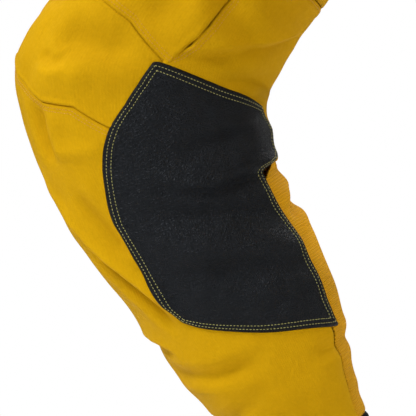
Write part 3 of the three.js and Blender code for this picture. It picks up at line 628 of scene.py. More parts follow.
class Wiring:
    """Short names for the shader nodes used below."""

    def __init__(self, tree):
        self.tree = tree

    def put(self, socket, value):
        if isinstance(value, bpy.types.NodeSocket):
            self.tree.links.new(value, socket)
        else:
            socket.default_value = value

    def math(self, op, a, b=0.0, c=0.0):
        node = self.tree.nodes.new("ShaderNodeMath")
        node.operation = op
        for socket, value in zip(node.inputs, (a, b, c)):
            self.put(socket, value)
        return node.outputs[0]

    def clamp01(self, a):
        node = self.tree.nodes.new("ShaderNodeClamp")
        self.put(node.inputs[0], a)
        return node.outputs[0]

    def scale(self, vector, factor):
        node = self.tree.nodes.new("ShaderNodeVectorMath")
        node.operation = "SCALE"
        self.put(node.inputs[0], vector)
        self.put(node.inputs["Scale"], factor)
        return node.outputs[0]

    def add(self, a, b):
        node = self.tree.nodes.new("ShaderNodeVectorMath")
        self.put(node.inputs[0], a)
        self.put(node.inputs[1], b)
        return node.outputs[0]

    def split(self, vector):
        node = self.tree.nodes.new("ShaderNodeSeparateXYZ")
        self.put(node.inputs[0], vector)
        return node.outputs

    def noise(self, vector, scale, detail=3.0, rough=0.55):
        node = self.tree.nodes.new("ShaderNodeTexNoise")
        self.put(node.inputs["Vector"], vector)
        self.put(node.inputs["Scale"], scale)
        node.inputs["Detail"].default_value = detail
        node.inputs["Roughness"].default_value = rough
        return node.outputs

    def cells(self, vector, scale, feature="DISTANCE_TO_EDGE"):
        node = self.tree.nodes.new("ShaderNodeTexVoronoi")
        node.feature = feature
        self.put(node.inputs["Vector"], vector)
        self.put(node.inputs["Scale"], scale)
        return node.outputs["Distance"]

    def ramp(self, value, low, high, out_low=0.0, out_high=1.0):
        node = self.tree.nodes.new("ShaderNodeMapRange")
        for key, v in (
            ("Value", value), ("From Min", low), ("From Max", high), ("To Min", out_low), ("To Max", out_high)
        ):
            self.put(node.inputs[key], v)
        return node.outputs[0]

    def mix(self, factor, a, b):
        node = self.tree.nodes.new("ShaderNodeMix")
        node.data_type = "RGBA"
        self.put(node.inputs[0], factor)
        self.put(node.inputs[6], a)
        self.put(node.inputs[7], b)
        return node.outputs[2]

    def bump(self, height, distance, strength=1.0, normal=None):
        node = self.tree.nodes.new("ShaderNodeBump")
        self.put(node.inputs["Height"], height)
        node.inputs["Distance"].default_value = distance
        node.inputs["Strength"].default_value = strength
        if normal is not None:
            self.put(node.inputs["Normal"], normal)
        return node.outputs[0]

    def use(self, tree, **values):
        node = self.tree.nodes.new("ShaderNodeGroup")
        node.node_tree = tree
        for key, v in values.items():
            self.put(node.inputs[key.replace("_", " ")], v)
        return node.outputs


def effect_groups():
    """Weave, rib, pebble grain and mottling, each shared by several finishes."""
    made = {}
    tree, w, i, o = group(
        "Twill Weave", [("Vector", "Cloth", None), ("Float", "Pitch", 0.0009)],
        [("Float", "Height"), ("Float", "Shade")]
    )
    x, y, _ = w.split(w.scale(i.outputs["Cloth"], w.math("DIVIDE", 2 * math.pi, i.outputs["Pitch"])))
    warp = w.math("SINE", w.math("ADD", x, y))
    weft = w.math("SINE", w.math("MULTIPLY", y, 2.0))
    yarn = w.math("MULTIPLY", w.math("SINE", w.math("MULTIPLY", x, 0.5)), 0.35)
    both = w.math("ADD", w.math("MULTIPLY", warp, 0.6), w.math("ADD", w.math("MULTIPLY", weft, 0.3), yarn))
    slub = w.noise(i.outputs["Cloth"], 420.0, 2.0)[0]
    w.put(o.inputs["Height"], w.math("ADD", both, w.math("MULTIPLY", slub, 1.4)))
    w.put(
        o.inputs["Shade"],
        w.clamp01(w.math("ADD", w.math("MULTIPLY", both, 0.22), w.math("ADD", w.math("MULTIPLY", slub, 0.8), 0.1)))
    )
    made["weave"] = tree

    tree, w, i, o = group(
        "Rib Knit", [("Vector", "Cloth", None), ("Float", "Pitch", 0.0022), ("Float", "Hole Start", 0.64)],
        [("Float", "Height"), ("Float", "Hole")]
    )
    x, y, _ = w.split(w.scale(i.outputs["Cloth"], w.math("DIVIDE", 2 * math.pi, i.outputs["Pitch"])))
    rib = w.math("SINE", y)
    stitch = w.math("MULTIPLY", w.math("SINE", x), w.math("COSINE", w.math("MULTIPLY", y, 0.5)))
    dot = w.math("MULTIPLY", w.math("SINE", w.math("MULTIPLY", x, 0.8)), w.math("SINE", w.math("MULTIPLY", y, 0.8)))
    low = w.ramp(
        w.split(i.outputs["Cloth"])[1], i.outputs["Hole Start"], w.math("ADD", i.outputs["Hole Start"], 0.02)
    )
    hole = w.math("MULTIPLY", w.ramp(dot, 0.35, 0.6), low)
    w.put(
        o.inputs["Height"],
        w.math("SUBTRACT", w.math("ADD", rib, w.math("MULTIPLY", stitch, 0.35)), w.math("MULTIPLY", hole, 2.0))
    )
    # Hole holds the knit's holes and painted shade in the rib troughs
    w.put(
        o.inputs["Hole"], w.clamp01(w.math("ADD", w.math("MULTIPLY", hole, 0.8), w.ramp(rib, -0.3, -1.0, 0.0, 0.2)))
    )
    made["rib"] = tree

    tree, w, i, o = group(
        "Pebble Grain", [("Vector", "Cloth", None), ("Float", "Grain", 0.002)],
        [("Float", "Height"), ("Float", "Crease")]
    )
    bend = w.scale(w.noise(i.outputs["Cloth"], 260.0, 2.0)[1], 0.0011)
    spot = w.add(i.outputs["Cloth"], bend)
    rate = w.math("DIVIDE", 1.0, i.outputs["Grain"])
    coarse = w.ramp(w.cells(spot, rate), 0.0, 0.22)
    fine = w.ramp(w.cells(spot, w.math("MULTIPLY", rate, 2.1)), 0.0, 0.3)
    pores = w.noise(i.outputs["Cloth"], 1800.0, 2.0)[0]
    w.put(
        o.inputs["Height"],
        w.math(
            "ADD", w.math("MULTIPLY", coarse, 1.0),
            w.math("ADD", w.math("MULTIPLY", fine, 0.35), w.math("MULTIPLY", pores, 0.3))
        )
    )
    w.put(o.inputs["Crease"], w.math("SUBTRACT", 1.0, coarse))
    made["pebble"] = tree

    tree, w, i, o = group(
        "Mottling", [("Vector", "Place", None), ("Float", "Size", 0.04)], [("Float", "Broad"), ("Float", "Fine")]
    )
    rate = w.math("DIVIDE", 1.0, i.outputs["Size"])
    w.put(o.inputs["Broad"], w.ramp(w.noise(i.outputs["Place"], rate, 4.0)[0], 0.32, 0.68))
    w.put(o.inputs["Fine"], w.ramp(w.noise(i.outputs["Place"], w.math("MULTIPLY", rate, 14.0), 3.0)[0], 0.3, 0.7))
    made["mottle"] = tree
    return made


EFFECTS = {}


def finish_of(name, sockets):
    """A material with a Principled shader whose even values are set straight on its sockets."""
    material = bpy.data.materials.new(name)
    material.use_nodes = True
    tree = material.node_tree
    shader = tree.nodes["Principled BSDF"]
    for key, value in sockets.items():
        shader.inputs[key].default_value = value
    w = Wiring(tree)
    coords = tree.nodes.new("ShaderNodeTexCoord")
    uv = tree.nodes.new("ShaderNodeUVMap")
    uv.uv_map = "cloth"
    # the fold-height attribute, for painted shade in fold valleys and painted highlight on fold ridges
    painted_fold_light = tree.nodes.new("ShaderNodeAttribute")
    painted_fold_light.attribute_name = "painted_fold_light"
    return material, shader, w, coords.outputs["Object"], uv.outputs[0], painted_fold_light.outputs["Fac"]


def shade(colour, factor, warm=0.0):
    return (min(colour[0] * factor * (1 + warm), 1), colour[1] * factor, colour[2] * factor * (1 - warm), 1)


def cloth_finish(name, colour, pitch, depth, sheen=0.08):
    m, s, w, obj, uv, painted_fold_light = finish_of(
        name,
        {
            "Roughness": 0.85, "Sheen Weight": sheen, "Sheen Roughness": 0.4, "Sheen Tint": shade(colour, 1.5),
            "Specular IOR Level": 0.2, "Specular Tint": shade(colour, 1.5)
        }
    )
    weave = w.use(EFFECTS["weave"], Cloth=uv, Pitch=pitch)
    mottle = w.use(EFFECTS["mottle"], Place=obj, Size=0.05)
    body = w.mix(mottle["Broad"], shade(colour, 0.93, 0.01), shade(colour, 1.05))
    body = w.mix(w.math("MULTIPLY", weave["Shade"], 0.6), body, shade(colour, 0.68, 0.03))
    body = w.mix(w.math("MULTIPLY", mottle["Fine"], 0.22), body, shade(colour, 0.7, 0.03))
    # painted shade darkens the fold valleys and painted highlight lightens the fold ridges
    body = w.mix(w.ramp(painted_fold_light, 0.42, 0.1, 0.0, 0.42), body, shade(colour, 0.62, 0.06))
    body = w.mix(w.ramp(painted_fold_light, 0.62, 1.0, 0.0, 0.22), body, shade(colour, 1.2, -0.02))
    w.put(s.inputs["Base Color"], body)
    w.put(s.inputs["Roughness"], w.ramp(mottle["Fine"], 0.0, 1.0, 0.78, 0.92))
    rumple = w.noise(obj, 42.0, 4.0, 0.6)[0]
    w.put(
        s.inputs["Normal"],
        w.bump(weave["Height"], depth, 1.0, w.bump(mottle["Fine"], 0.0003, 0.6, w.bump(rumple, 0.004, 0.35)))
    )
    return m


def knit_finish(name, colour, pitch, depth, hole_start, painted_hole_shade):
    m, s, w, obj, uv, painted_fold_light = finish_of(
        name,
        {
            "Roughness": 0.88, "Sheen Weight": 0.08, "Sheen Tint": shade(colour, 1.5), "Specular IOR Level": 0.2,
            "Specular Tint": shade(colour, 1.5)
        }
    )
    rib = w.use(EFFECTS["rib"], Cloth=uv, Pitch=pitch, Hole_Start=hole_start)
    mottle = w.use(EFFECTS["mottle"], Place=obj, Size=0.04)
    body = w.mix(mottle["Broad"], shade(colour, 0.92), shade(colour, 1.07))
    # painted shade: the holes and the rib troughs take a shaded copy of the knit's colour
    body = w.mix(rib["Hole"], body, (*painted_hole_shade, 1))
    # painted shade darkens the fold valleys
    body = w.mix(w.ramp(painted_fold_light, 0.42, 0.1, 0.0, 0.4), body, shade(colour, 0.55))
    w.put(s.inputs["Base Color"], body)
    w.put(s.inputs["Roughness"], w.ramp(mottle["Fine"], 0.0, 1.0, 0.8, 0.95))
    w.put(s.inputs["Normal"], w.bump(rib["Height"], depth))
    return m


def leather_finish(name, colour, grain):
    m, s, w, obj, uv, painted_fold_light = finish_of(
        name, {"Roughness": 0.3, "Specular IOR Level": 0.2, "Specular Tint": (0.82, 0.9, 1.0, 1)}
    )
    pebble = w.use(EFFECTS["pebble"], Cloth=uv, Grain=grain)
    mottle = w.use(EFFECTS["mottle"], Place=obj, Size=0.03)
    body = w.mix(mottle["Broad"], shade(colour, 0.85), shade(colour, 1.2))
    body = w.mix(w.math("MULTIPLY", pebble["Crease"], 0.6), body, shade(colour, 0.4))
    # painted highlight lightens the raised folds
    body = w.mix(w.ramp(painted_fold_light, 0.6, 1.0, 0.0, 0.3), body, shade(colour, 2.0))
    w.put(s.inputs["Base Color"], body)
    w.put(
        s.inputs["Roughness"],
        w.math("ADD", w.ramp(mottle["Fine"], 0.0, 1.0, 0.26, 0.34), w.math("MULTIPLY", pebble["Crease"], 0.3))
    )
    rumple = w.noise(obj, 75.0, 3.0)[0]
    w.put(s.inputs["Normal"], w.bump(pebble["Height"], 0.0004, 1.0, w.bump(rumple, 0.003, 0.6)))
    return m


def thread_finish(name, colour):
    m, s, w, obj, uv, painted_fold_light = finish_of(name, {"Roughness": 0.6, "Sheen Weight": 0.3})
    twist = w.noise(obj, 2600.0, 1.0)[0]
    w.put(s.inputs["Base Color"], w.mix(w.ramp(twist, 0.35, 0.65), shade(colour, 0.75), shade(colour, 1.15)))
    w.put(s.inputs["Normal"], w.bump(twist, 0.0001))
    return m


def metal_finish(name, colour):
    m, s, w, obj, uv, painted_fold_light = finish_of(name, {"Metallic": 1.0, "Roughness": 0.35})
    mottle = w.use(EFFECTS["mottle"], Place=obj, Size=0.004)
    w.put(s.inputs["Base Color"], w.mix(mottle["Broad"], shade(colour, 0.8), shade(colour, 1.1)))
    w.put(s.inputs["Roughness"], w.ramp(mottle["Fine"], 0.0, 1.0, 0.25, 0.45))
    w.put(s.inputs["Normal"], w.bump(mottle["Fine"], 0.00004))
    return m


# ---- Stitches and zip teeth: one small shape at every place ----------------------------------------------------


def row_tree(name, square):
    """Geometry nodes that set a thread stitch, or a zip tooth, at every point, along its own direction."""
    tree = bpy.data.node_groups.new(name, "GeometryNodeTree")
    face = tree.interface
    face.new_socket("Geometry", in_out="INPUT", socket_type="NodeSocketGeometry")
    for label, value in (("Length", 0.0024), ("Width", 0.0008), ("Height", 0.0006)):
        face.new_socket(label, in_out="INPUT", socket_type="NodeSocketFloat").default_value = value
    face.new_socket("Material", in_out="INPUT", socket_type="NodeSocketMaterial")
    face.new_socket("Geometry", in_out="OUTPUT", socket_type="NodeSocketGeometry")
    new, link = tree.nodes.new, tree.links.new
    gin, gout = new("NodeGroupInput"), new("NodeGroupOutput")
    if square:
        shape = new("GeometryNodeMeshCube")
        shape.inputs["Size"].default_value = (2, 2, 2)
        out = shape.outputs["Mesh"]
    else:
        shape = new("GeometryNodeMeshUVSphere")
        shape.inputs["Segments"].default_value = 6
        shape.inputs["Rings"].default_value = 5
        out = shape.outputs["Mesh"]
    combine = new("ShaderNodeCombineXYZ")
    for k, label in enumerate(("Length", "Width", "Height")):
        half = new("ShaderNodeMath")
        half.operation = "MULTIPLY"
        half.inputs[1].default_value = 0.5
        link(gin.outputs[label], half.inputs[0])
        link(half.outputs[0], combine.inputs[k])
    axes = new("FunctionNodeAxesToRotation")
    axes.primary_axis, axes.secondary_axis = "X", "Z"
    for key, label in ((0, "along"), (1, "out")):
        named = new("GeometryNodeInputNamedAttribute")
        named.data_type = "FLOAT_VECTOR"
        named.inputs["Name"].default_value = label
        link(named.outputs["Attribute"], axes.inputs[key])
    place = new("GeometryNodeInstanceOnPoints")
    link(gin.outputs["Geometry"], place.inputs["Points"])
    link(out, place.inputs["Instance"])
    link(axes.outputs[0], place.inputs["Rotation"])
    link(combine.outputs[0], place.inputs["Scale"])
    real = new("GeometryNodeRealizeInstances")
    link(place.outputs[0], real.inputs[0])
    paint = new("GeometryNodeSetMaterial")
    link(real.outputs[0], paint.inputs["Geometry"])
    link(gin.outputs["Material"], paint.inputs["Material"])
    link(paint.outputs[0], gout.inputs[0])
    return tree


def rows_to_mesh(name, places, tree, length, width, height, material):
    """Runs the tree over (point, direction, outward) rows in millimetres and keeps the result as a plain mesh."""
    mesh = bpy.data.meshes.new(name + "_places")
    mesh.from_pydata((places[:, :3] * MM).tolist(), [], [])
    for label, cols in (("along", slice(3, 6)), ("out", slice(6, 9))):
        attribute = mesh.attributes.new(label, "FLOAT_VECTOR", "POINT")
        attribute.data.foreach_set("vector", places[:, cols].astype(np.float32).ravel())
    holder = bpy.data.objects.new(name + "_places", mesh)
    bpy.context.scene.collection.objects.link(holder)
    modifier = holder.modifiers.new("rows", "NODES")
    modifier.node_group = tree
    values = {"Length": length, "Width": width, "Height": height, "Material": material}
    for item in tree.interface.items_tree:
        if item.item_type == "SOCKET" and item.in_out == "INPUT" and item.name in values:
            modifier[item.identifier] = values[item.name]
    bpy.context.view_layer.update()
    result = bpy.data.meshes.new_from_object(holder.evaluated_get(bpy.context.evaluated_depsgraph_get()))
    bpy.data.objects.remove(holder)
    result.name = name
    obj = bpy.data.objects.new(name, result)
    bpy.context.scene.collection.objects.link(obj)
    if not result.materials:
        result.materials.append(material)
    result.polygons.foreach_set("use_smooth", np.ones(len(result.polygons), bool))
    return obj


# ---- What the pieces follow ----------------------------------------------------------------------------------


def follow(obj, how):
    """hip and knee pieces stay in place as shaped over that joint, on no body, and the others ride on one body."""
    if how in ("hip", "knee"):
        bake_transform(obj)
    else:
        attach(obj, how)
    return obj


MADE = {}  # panels by piece name, for the stitching


def linear(r, g, b):
    """A screen colour of 0 to 255 as the light values that a shader wants."""
    return tuple(((c / 255 + 0.055) / 1.055) ** 2.4 if c > 10 else c / 255 / 12.92 for c in (r, g, b))


def colour(label, about, rgb):
    return FloatVectorProperty(
        name=label, description=about, subtype="COLOR", size=3, min=0, max=1, default=linear(*rgb)
    )


def length(label, about, metres, low=0.0):
    return FloatProperty(name=label, description=about, default=metres, min=low, unit="LENGTH", precision=5)


class PantsSizes(bpy.types.PropertyGroup):
    """Sizes that a maker would change."""

    cloth_thick: length("Cloth thickness", "Woven cloth with its lining", 0.0015, 0.0005)
    leather_thick: length("Leather thickness", "Leather with its turned edges", 0.0022, 0.001)
    weave_pitch: length("Weave pitch", "From one twill line of the cloth to the next", 0.0011, 0.0003)
    rib_pitch: length("Rib pitch", "From one rib of the calf knit to the next", 0.0026, 0.0005)
    elastic_pitch: length("Elastic pitch", "From one rib of the elastic to the next", 0.0016, 0.0005)
    grain_size: length("Grain size", "One pebble of the leather", 0.0025, 0.0005)
    stitch_pitch: length("Stitch pitch", "From one stitch to the next", 0.003, 0.001)
    stitch_length: length("Stitch length", "What shows of one stitch", 0.0021, 0.0005)
    thread_width: length("Thread width", "Thickness of the sewing thread", 0.00062, 0.0002)
    tooth_pitch: length("Tooth pitch", "From one zip tooth to the next on one tape", 0.0026, 0.001)
    surface_step: length("Surface step", "Size of a cell of the cloth's mesh", 0.0021, 0.0008)
    cuff_ribs: IntProperty(name="Cuff ribs", description="Ribs round one cuff", default=84, min=12)


class PantsColours(bpy.types.PropertyGroup):
    """Colours that a maker would change."""

    woven: colour("Woven cloth", "Woven outer cloth", (208, 160, 14))
    stretch: colour("Stretch", "Ribbed stretch cloth of the calf and gusset", (204, 150, 22))
    leather: colour("Leather", "Inner-knee leather", (8, 9, 12))
    seam_thread: colour("Seam thread", "Thread on the cloth", (196, 132, 30))
    leather_thread: colour("Leather thread", "Thread on the leather", (176, 172, 96))
    elastic: colour("Elastic", "Cuffs, straps and back waistband", (30, 31, 34))
    tape: colour("Tape", "Zip tape and hook tape", (24, 24, 26))
    metal: colour("Metal", "Slider, teeth and snap", (176, 178, 182))


FINISH = {}


class PANTS_OT_finishes(bpy.types.Operator):
    """Mixes every cloth, leather, thread and metal finish"""

    bl_idname = "pants.finishes"
    bl_label = "Finishes"

    def execute(self, context):
        size, tint = context.scene.pants_sizes, context.scene.pants_colours
        EFFECTS.update(effect_groups())
        FINISH["shell"] = cloth_finish("Woven cloth", tint.woven, size.weave_pitch, 0.00012)
        # each knit gets a shaded copy of its own colour as painted shade for its holes and rib troughs
        FINISH["stretch"] = knit_finish(
            "Stretch rib", tint.stretch, size.rib_pitch, 0.0002, 0.735, shade(tint.stretch, 0.35)[:3]
        )
        FINISH["elastic"] = knit_finish(
            "Elastic rib", tint.elastic, size.elastic_pitch, 0.0003, 9.0, shade(tint.elastic, 0.4)[:3]
        )
        FINISH["tape"] = cloth_finish("Tape", tint.tape, 0.0008, 0.0001, 0.1)
        FINISH["leather"] = leather_finish("Pebbled leather", tint.leather, size.grain_size)
        FINISH["seam thread"] = thread_finish("Seam thread", tint.seam_thread)
        FINISH["leather thread"] = thread_finish("Leather thread", tint.leather_thread)
        FINISH["metal"] = metal_finish("Brushed metal", tint.metal)
        return {"FINISHED"}


def sew(node, side, edges, slot, how, step=1.0, edits=(), held="hung", **extra):
    """Makes one panel in place of its CAD node: its mesh, its seams' relief, what it follows and its flat size."""
    size = bpy.context.scene.pants_sizes
    thick = (size.leather_thick if slot == "leather" else size.cloth_thick) / MM
    panel = Sewn(
        side, edges, size.surface_step / MM * step, thick=extra.pop("thick", thick), lift=extra.pop("lift", 1.5),
        **extra
    )
    for edit, *values in edits:
        getattr(panel, edit)(*values)
    panel.build(node + "_cloth", FINISH[slot])
    follow(panel.obj, how)
    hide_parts(node)
    MADE[node] = panel
    return panel


KNEE_TOP = ((388, -0.020), (365, 0.046), (360, 0.091), (352, 0.16), (345, 0.25), (345, 0.33), (345, 0.41), (345, 0.5))
KNEE_LOW = (
    (447, 0.030), (442, 0.049), (427, 0.089), (424, 0.135), (414, 0.178), (401, 0.25), (414, 0.33), (427, 0.41),
    (442, 0.5)
)
INSEAM = ((180, 0.0), (255, -0.03), (304, -0.048), (350, -0.041), (388, -0.020))
LEATHER_FRONT = (
    (388, 0.001), (392, 0.003), (409, 0.014), (426, 0.029), (442, 0.049), (456, 0.063), (469, 0.074), (488, 0.087),
    (506, 0.098), (530, 0.102), (564, 0.107), (587, 0.108), (608, 0.096)
)
LEATHER_FOOT = ((681, -0.166), (677, -0.125), (659, -0.038), (641, 0.022), (620, 0.075), (608, 0.096))
LEATHER_BACK = (
    (417, -0.186), (491, -0.217), (522, -0.220), (528, -0.200), (530, -0.150), (543, -0.147), (566, -0.149),
    (601, -0.157), (656, -0.155), (681, -0.166)
)
LEATHER_HEAD = (
    (417, -0.186), (400, -0.144), (396, -0.102), (392, -0.075), (388, -0.040), (386, -0.008), (388, 0.001)
)
EDGE = 1.4  # mm over which a panel's border rolls under


def straight_patch(top, bottom, start, stop):
    """Edges of a patch between two distances down the form and two shares of the way round."""
    rows = crossline((top, start), (top, stop)), crossline((bottom, start), (bottom, stop))
    return *rows, sideline((top, start), (bottom, start)), sideline((top, stop), (bottom, stop))


class PANTS_OT_hips(bpy.types.Operator):
    """Sews the front hip panels, the seat and the crotch gussets"""

    bl_idname = "pants.hips"
    bl_label = "Hips and seat"

    def execute(self, context):
        everywhere = ["top", "bottom", "right", "left"]
        for side in SIDES:
            sew(side + "_front_hip_panel", side, (
                crossline((0, 0.0115), (0, 0.499)), crossline((179, 0.004), (179, 0.499)),
                edge((120, 0.0115), (150, 0.0125), (154, 0.004), (226, 0.004), (299, 0.004)),
                sideline((0, 0.499), (179, 0.499))
            ),
                "shell", "hip", 1.25, [
                    ("roll", everywhere, EDGE, 1.0), ("raise_edge", ["right", "top", "bottom"], 9, 0.7),
                    ("groove", ["right"], 3), ("groove", ["right"], 8), ("groove", ["bottom"], 3)
                ])
            sew(side + "_seat_panel", side, straight_patch(0, 179, 0.501, 0.996),
                "shell", "hip", 1.25, [
                    ("roll", everywhere, EDGE, 1.0), ("raise_edge", ["right"], 9, 0.7), ("groove", ["right"], 3),
                    ("groove", ["right"], 8)
                ])
            sew(side + "_crotch_gusset", side, (
                crossline((126, -0.088), (126, 0.088)),
                crossline((131, -0.086), (148, -0.05), (154, 0), (148, 0.05), (131, 0.086)),
                sideline((126, -0.088), (131, -0.086)), sideline((126, 0.088), (131, 0.086))
            ),
                "stretch", "hip", 1.0, [
                    ("roll", ["bottom"], EDGE, 0.8), ("groove", ["bottom"], 3)
                ], lift=2.7, thick=1.0)
        return {"FINISHED"}


class PANTS_OT_thighs(bpy.types.Operator):
    """Sews the front and back thigh panels"""

    bl_idname = "pants.thighs"
    bl_label = "Thighs"

    def execute(self, context):
        everywhere = ["top", "bottom", "right", "left"]
        for side in SIDES:
            sew(side + "_front_thigh_panel", side, (
                crossline((180, 0.001), (180, 0.499)), crossline(*KNEE_TOP[:-1], (345, 0.499)), sideline(*INSEAM),
                sideline((180, 0.499), (345, 0.499))
            ),
                "shell", "hip", 1.0, [
                    ("roll", everywhere, EDGE, 1.1), ("raise_edge", ["left"], 3.5, 0.9),
                    ("raise_edge", ["right", "top"], 8, 0.6), ("groove", ["bottom"], 4), ("groove", ["bottom"], 7.5),
                    ("groove", ["right"], 3), ("tuck", ["bottom"], 3, 1.0)
                ])
            sew(side + "_back_thigh_panel", side, (
                crossline((180, 0.501), (180, 0.999)), crossline((254, 0.501), (254, 0.969)),
                sideline((180, 0.501), (254, 0.501)), sideline((180, 0.999), (254, 0.969))
            ),
                "shell", "hip", 1.1, [
                    ("roll", everywhere, EDGE, 1.0), ("raise_edge", ["top"], 8, 0.6), ("groove", ["top"], 3)
                ])
        return {"FINISHED"}


class PANTS_OT_knees(bpy.types.Operator):
    """Sews the knee and back knee panels"""

    bl_idname = "pants.knees"
    bl_label = "Knees"

    def execute(self, context):
        for side in SIDES:
            sew(side + "_knee_panel", side, (
                crossline(*KNEE_TOP[:-1], (345, 0.499)), crossline(*KNEE_LOW[:-1], (442, 0.499)),
                sideline((388, -0.020), (405, -0.004), (425, 0.012), (447, 0.030)),
                sideline((345, 0.499), (442, 0.499))
            ),
                "shell", "knee", 0.8, [
                    ("roll", ["top", "bottom", "right"], 1.0, 0.8), ("raise_edge", ["top", "bottom"], 4, 1.0),
                    ("tuck", ["left"], 9, 2.2)
                ])
            back = (
                (255, 0.969), (304, 0.951), (335, 0.955), (360, 0.962), (376, 0.975), (386, 0.990), (391, 0.985),
                (400, 0.918), (409, 0.880), (430, 0.826), (470, 0.806), (505, 0.800), (529, 0.785)
            )
            sew(side + "_back_knee_panel", side, (
                crossline((255, 0.501), (255, 0.969)), crossline((529, 0.501), (529, 0.785)),
                sideline((255, 0.501), (529, 0.501)), sideline(*back)
            ),
                "shell", "knee", 0.8, [
                    ("roll", ["top", "bottom", "left", "right"], EDGE, 1.1),
                    ("raise_edge", ["top", "bottom"], 8, 0.6), ("groove", ["top"], 3), ("groove", ["right"], 3.5),
                    ("groove", ["right"], 7)
                ])
        return {"FINISHED"}


class PANTS_OT_leather(bpy.types.Operator):
    """Sews the inner-knee leather on, with its turned border and the dents of its two rows of stitches"""

    bl_idname = "pants.leather"
    bl_label = "Inner-knee leather"

    def execute(self, context):
        borders = ["left", "right", "top", "bottom"]
        for side in SIDES:
            sew(side + "_inner_knee_leather", side, (
                smooth_down(LEATHER_HEAD), smooth_down(LEATHER_FOOT), sideline(*LEATHER_BACK),
                sideline(*LEATHER_FRONT)
            ),
                "leather", "knee", 0.62, [
                    ("roll", borders, 1.3, 1.8), ("raise_edge", borders, 10, 0.5), ("groove", borders, 4, 0.5),
                    ("groove", borders, 8.2, 0.5)
                ], lift=3.3, held="stretched")
        return {"FINISHED"}


def smooth_down(points):
    line = smooth_edge(*points)
    return lambda s: line(s) + np.array([HIP_DROP, 0])


class PANTS_OT_shins(bpy.types.Operator):
    """Sews the shin panels and the ribbed calf panels"""

    bl_idname = "pants.shins"
    bl_label = "Shins and calves"

    def execute(self, context):
        front = (
            (447, 0.030), (456, 0.044), (469, 0.055), (488, 0.068), (506, 0.079), (530, 0.083), (564, 0.088),
            (587, 0.087), (604, 0.078), (618, 0.050), (641, -0.004), (659, -0.066), (672, -0.139), (762, -0.139)
        )
        back = ((521, 0.800), (531, 0.815), (543, 0.872), (601, 0.862), (656, 0.864), (681, 0.855), (762, 0.860))
        for side in SIDES:
            sew(side + "_shin_panel", side, (
                crossline(*KNEE_LOW[:-1], (442, 0.499)), crossline((762, -0.139), (762, 0.499)), sideline(*front),
                sideline((442, 0.499), (762, 0.499))
            ),
                "shell", "knee", 0.85, [
                    ("roll", ["right", "bottom"], EDGE, 1.1), ("tuck", ["top"], 3, 1.0), ("groove", ["top"], 4),
                    ("groove", ["top"], 7), ("raise_edge", ["right"], 8, 0.6), ("groove", ["right"], 3),
                    ("groove", ["right"], 8)
                ])
            sew(side + "_calf_stretch_panel", side, (
                crossline((521, 0.501), (521, 0.800)), crossline((762, 0.501), (762, 0.860)),
                sideline((521, 0.501), (762, 0.501)), sideline(*back)
            ),
                "stretch", "knee", 0.85, [
                    ("roll", ["left", "bottom"], EDGE, 1.1), ("tuck", ["top"], 14, 2.6)
                ], held="stretched")
        return {"FINISHED"}


class PANTS_OT_cuffs(bpy.types.Operator):
    """Knits the elastic cuffs"""

    bl_idname = "pants.cuffs"
    bl_label = "Cuffs"

    def execute(self, context):
        ribs = context.scene.pants_sizes.cuff_ribs
        for side in SIDES:
            sew(side + "_cuff", side, straight_patch(763, 799.4, 0.0, 1.0),
                "elastic", side + "_shin", 0.42, [
                    ("roll", ["top", "bottom"], 1.6, 1.0), ("ribs", ribs, 0.45)
                ], held="gathered")
        return {"FINISHED"}


WAIST_DROP, YOKE_DROP, BUCKLE_MIDDLE = 45.0, 120.0, 22.5
TAB_ANGLES, LOOP_ANGLES, STRAP_ANGLES = (-24.0, 13.0), (42.0, 150.0), (68.0, 106.0)


def waist_patch(top, bottom, start, stop, margin=0.3):
    """Edges of a patch between two drops below the waist edge and two angles from the centre front."""
    a, b, m = start / 180, stop / 180, margin / 2.6 / 180
    t, l = top - HIP_DROP + margin, bottom - HIP_DROP - margin
    return straight_patch(t, l, a + m, b - m)


class PANTS_OT_waist(bpy.types.Operator):
    """Sews the waistband and the yokes"""

    bl_idname = "pants.waist"
    bl_label = "Waistband and yokes"

    def execute(self, context):
        rows = [
            ("roll", ["top", "bottom", "left", "right"], EDGE, 1.0), ("groove", ["top", "bottom"], 3),
            ("groove", ["bottom"], 7)
        ]
        for side in SIDES:
            span = (0.5, 90) if side == "right" else (-90, -0.5)
            fly = (3.3, 90) if side == "right" else (-90, -3.3)
            sew(
                side + "_front_waistband", "waist", waist_patch(0, WAIST_DROP - 0.3, *span), "shell", "hips", 1.0,
                rows, thick=2.4
            )
            sew(
                side + "_front_yoke", "waist", waist_patch(WAIST_DROP + 0.3, YOKE_DROP - 0.3, *fly), "shell", "hips",
                1.1, rows
            )
        sew(
            "back_waistband", "waist", waist_patch(0, WAIST_DROP - 0.3, 90, 270), "elastic", "hips", 0.8,
            [("roll", ["top", "bottom"], EDGE, 1.0), ("ribs", 150, 0.7)], held="gathered", thick=2.4
        )
        sew(
            "back_yoke", "waist", waist_patch(WAIST_DROP + 0.3, YOKE_DROP - 0.3, 90, 270), "stretch", "hips", 1.1,
            rows
        )
        return {"FINISHED"}


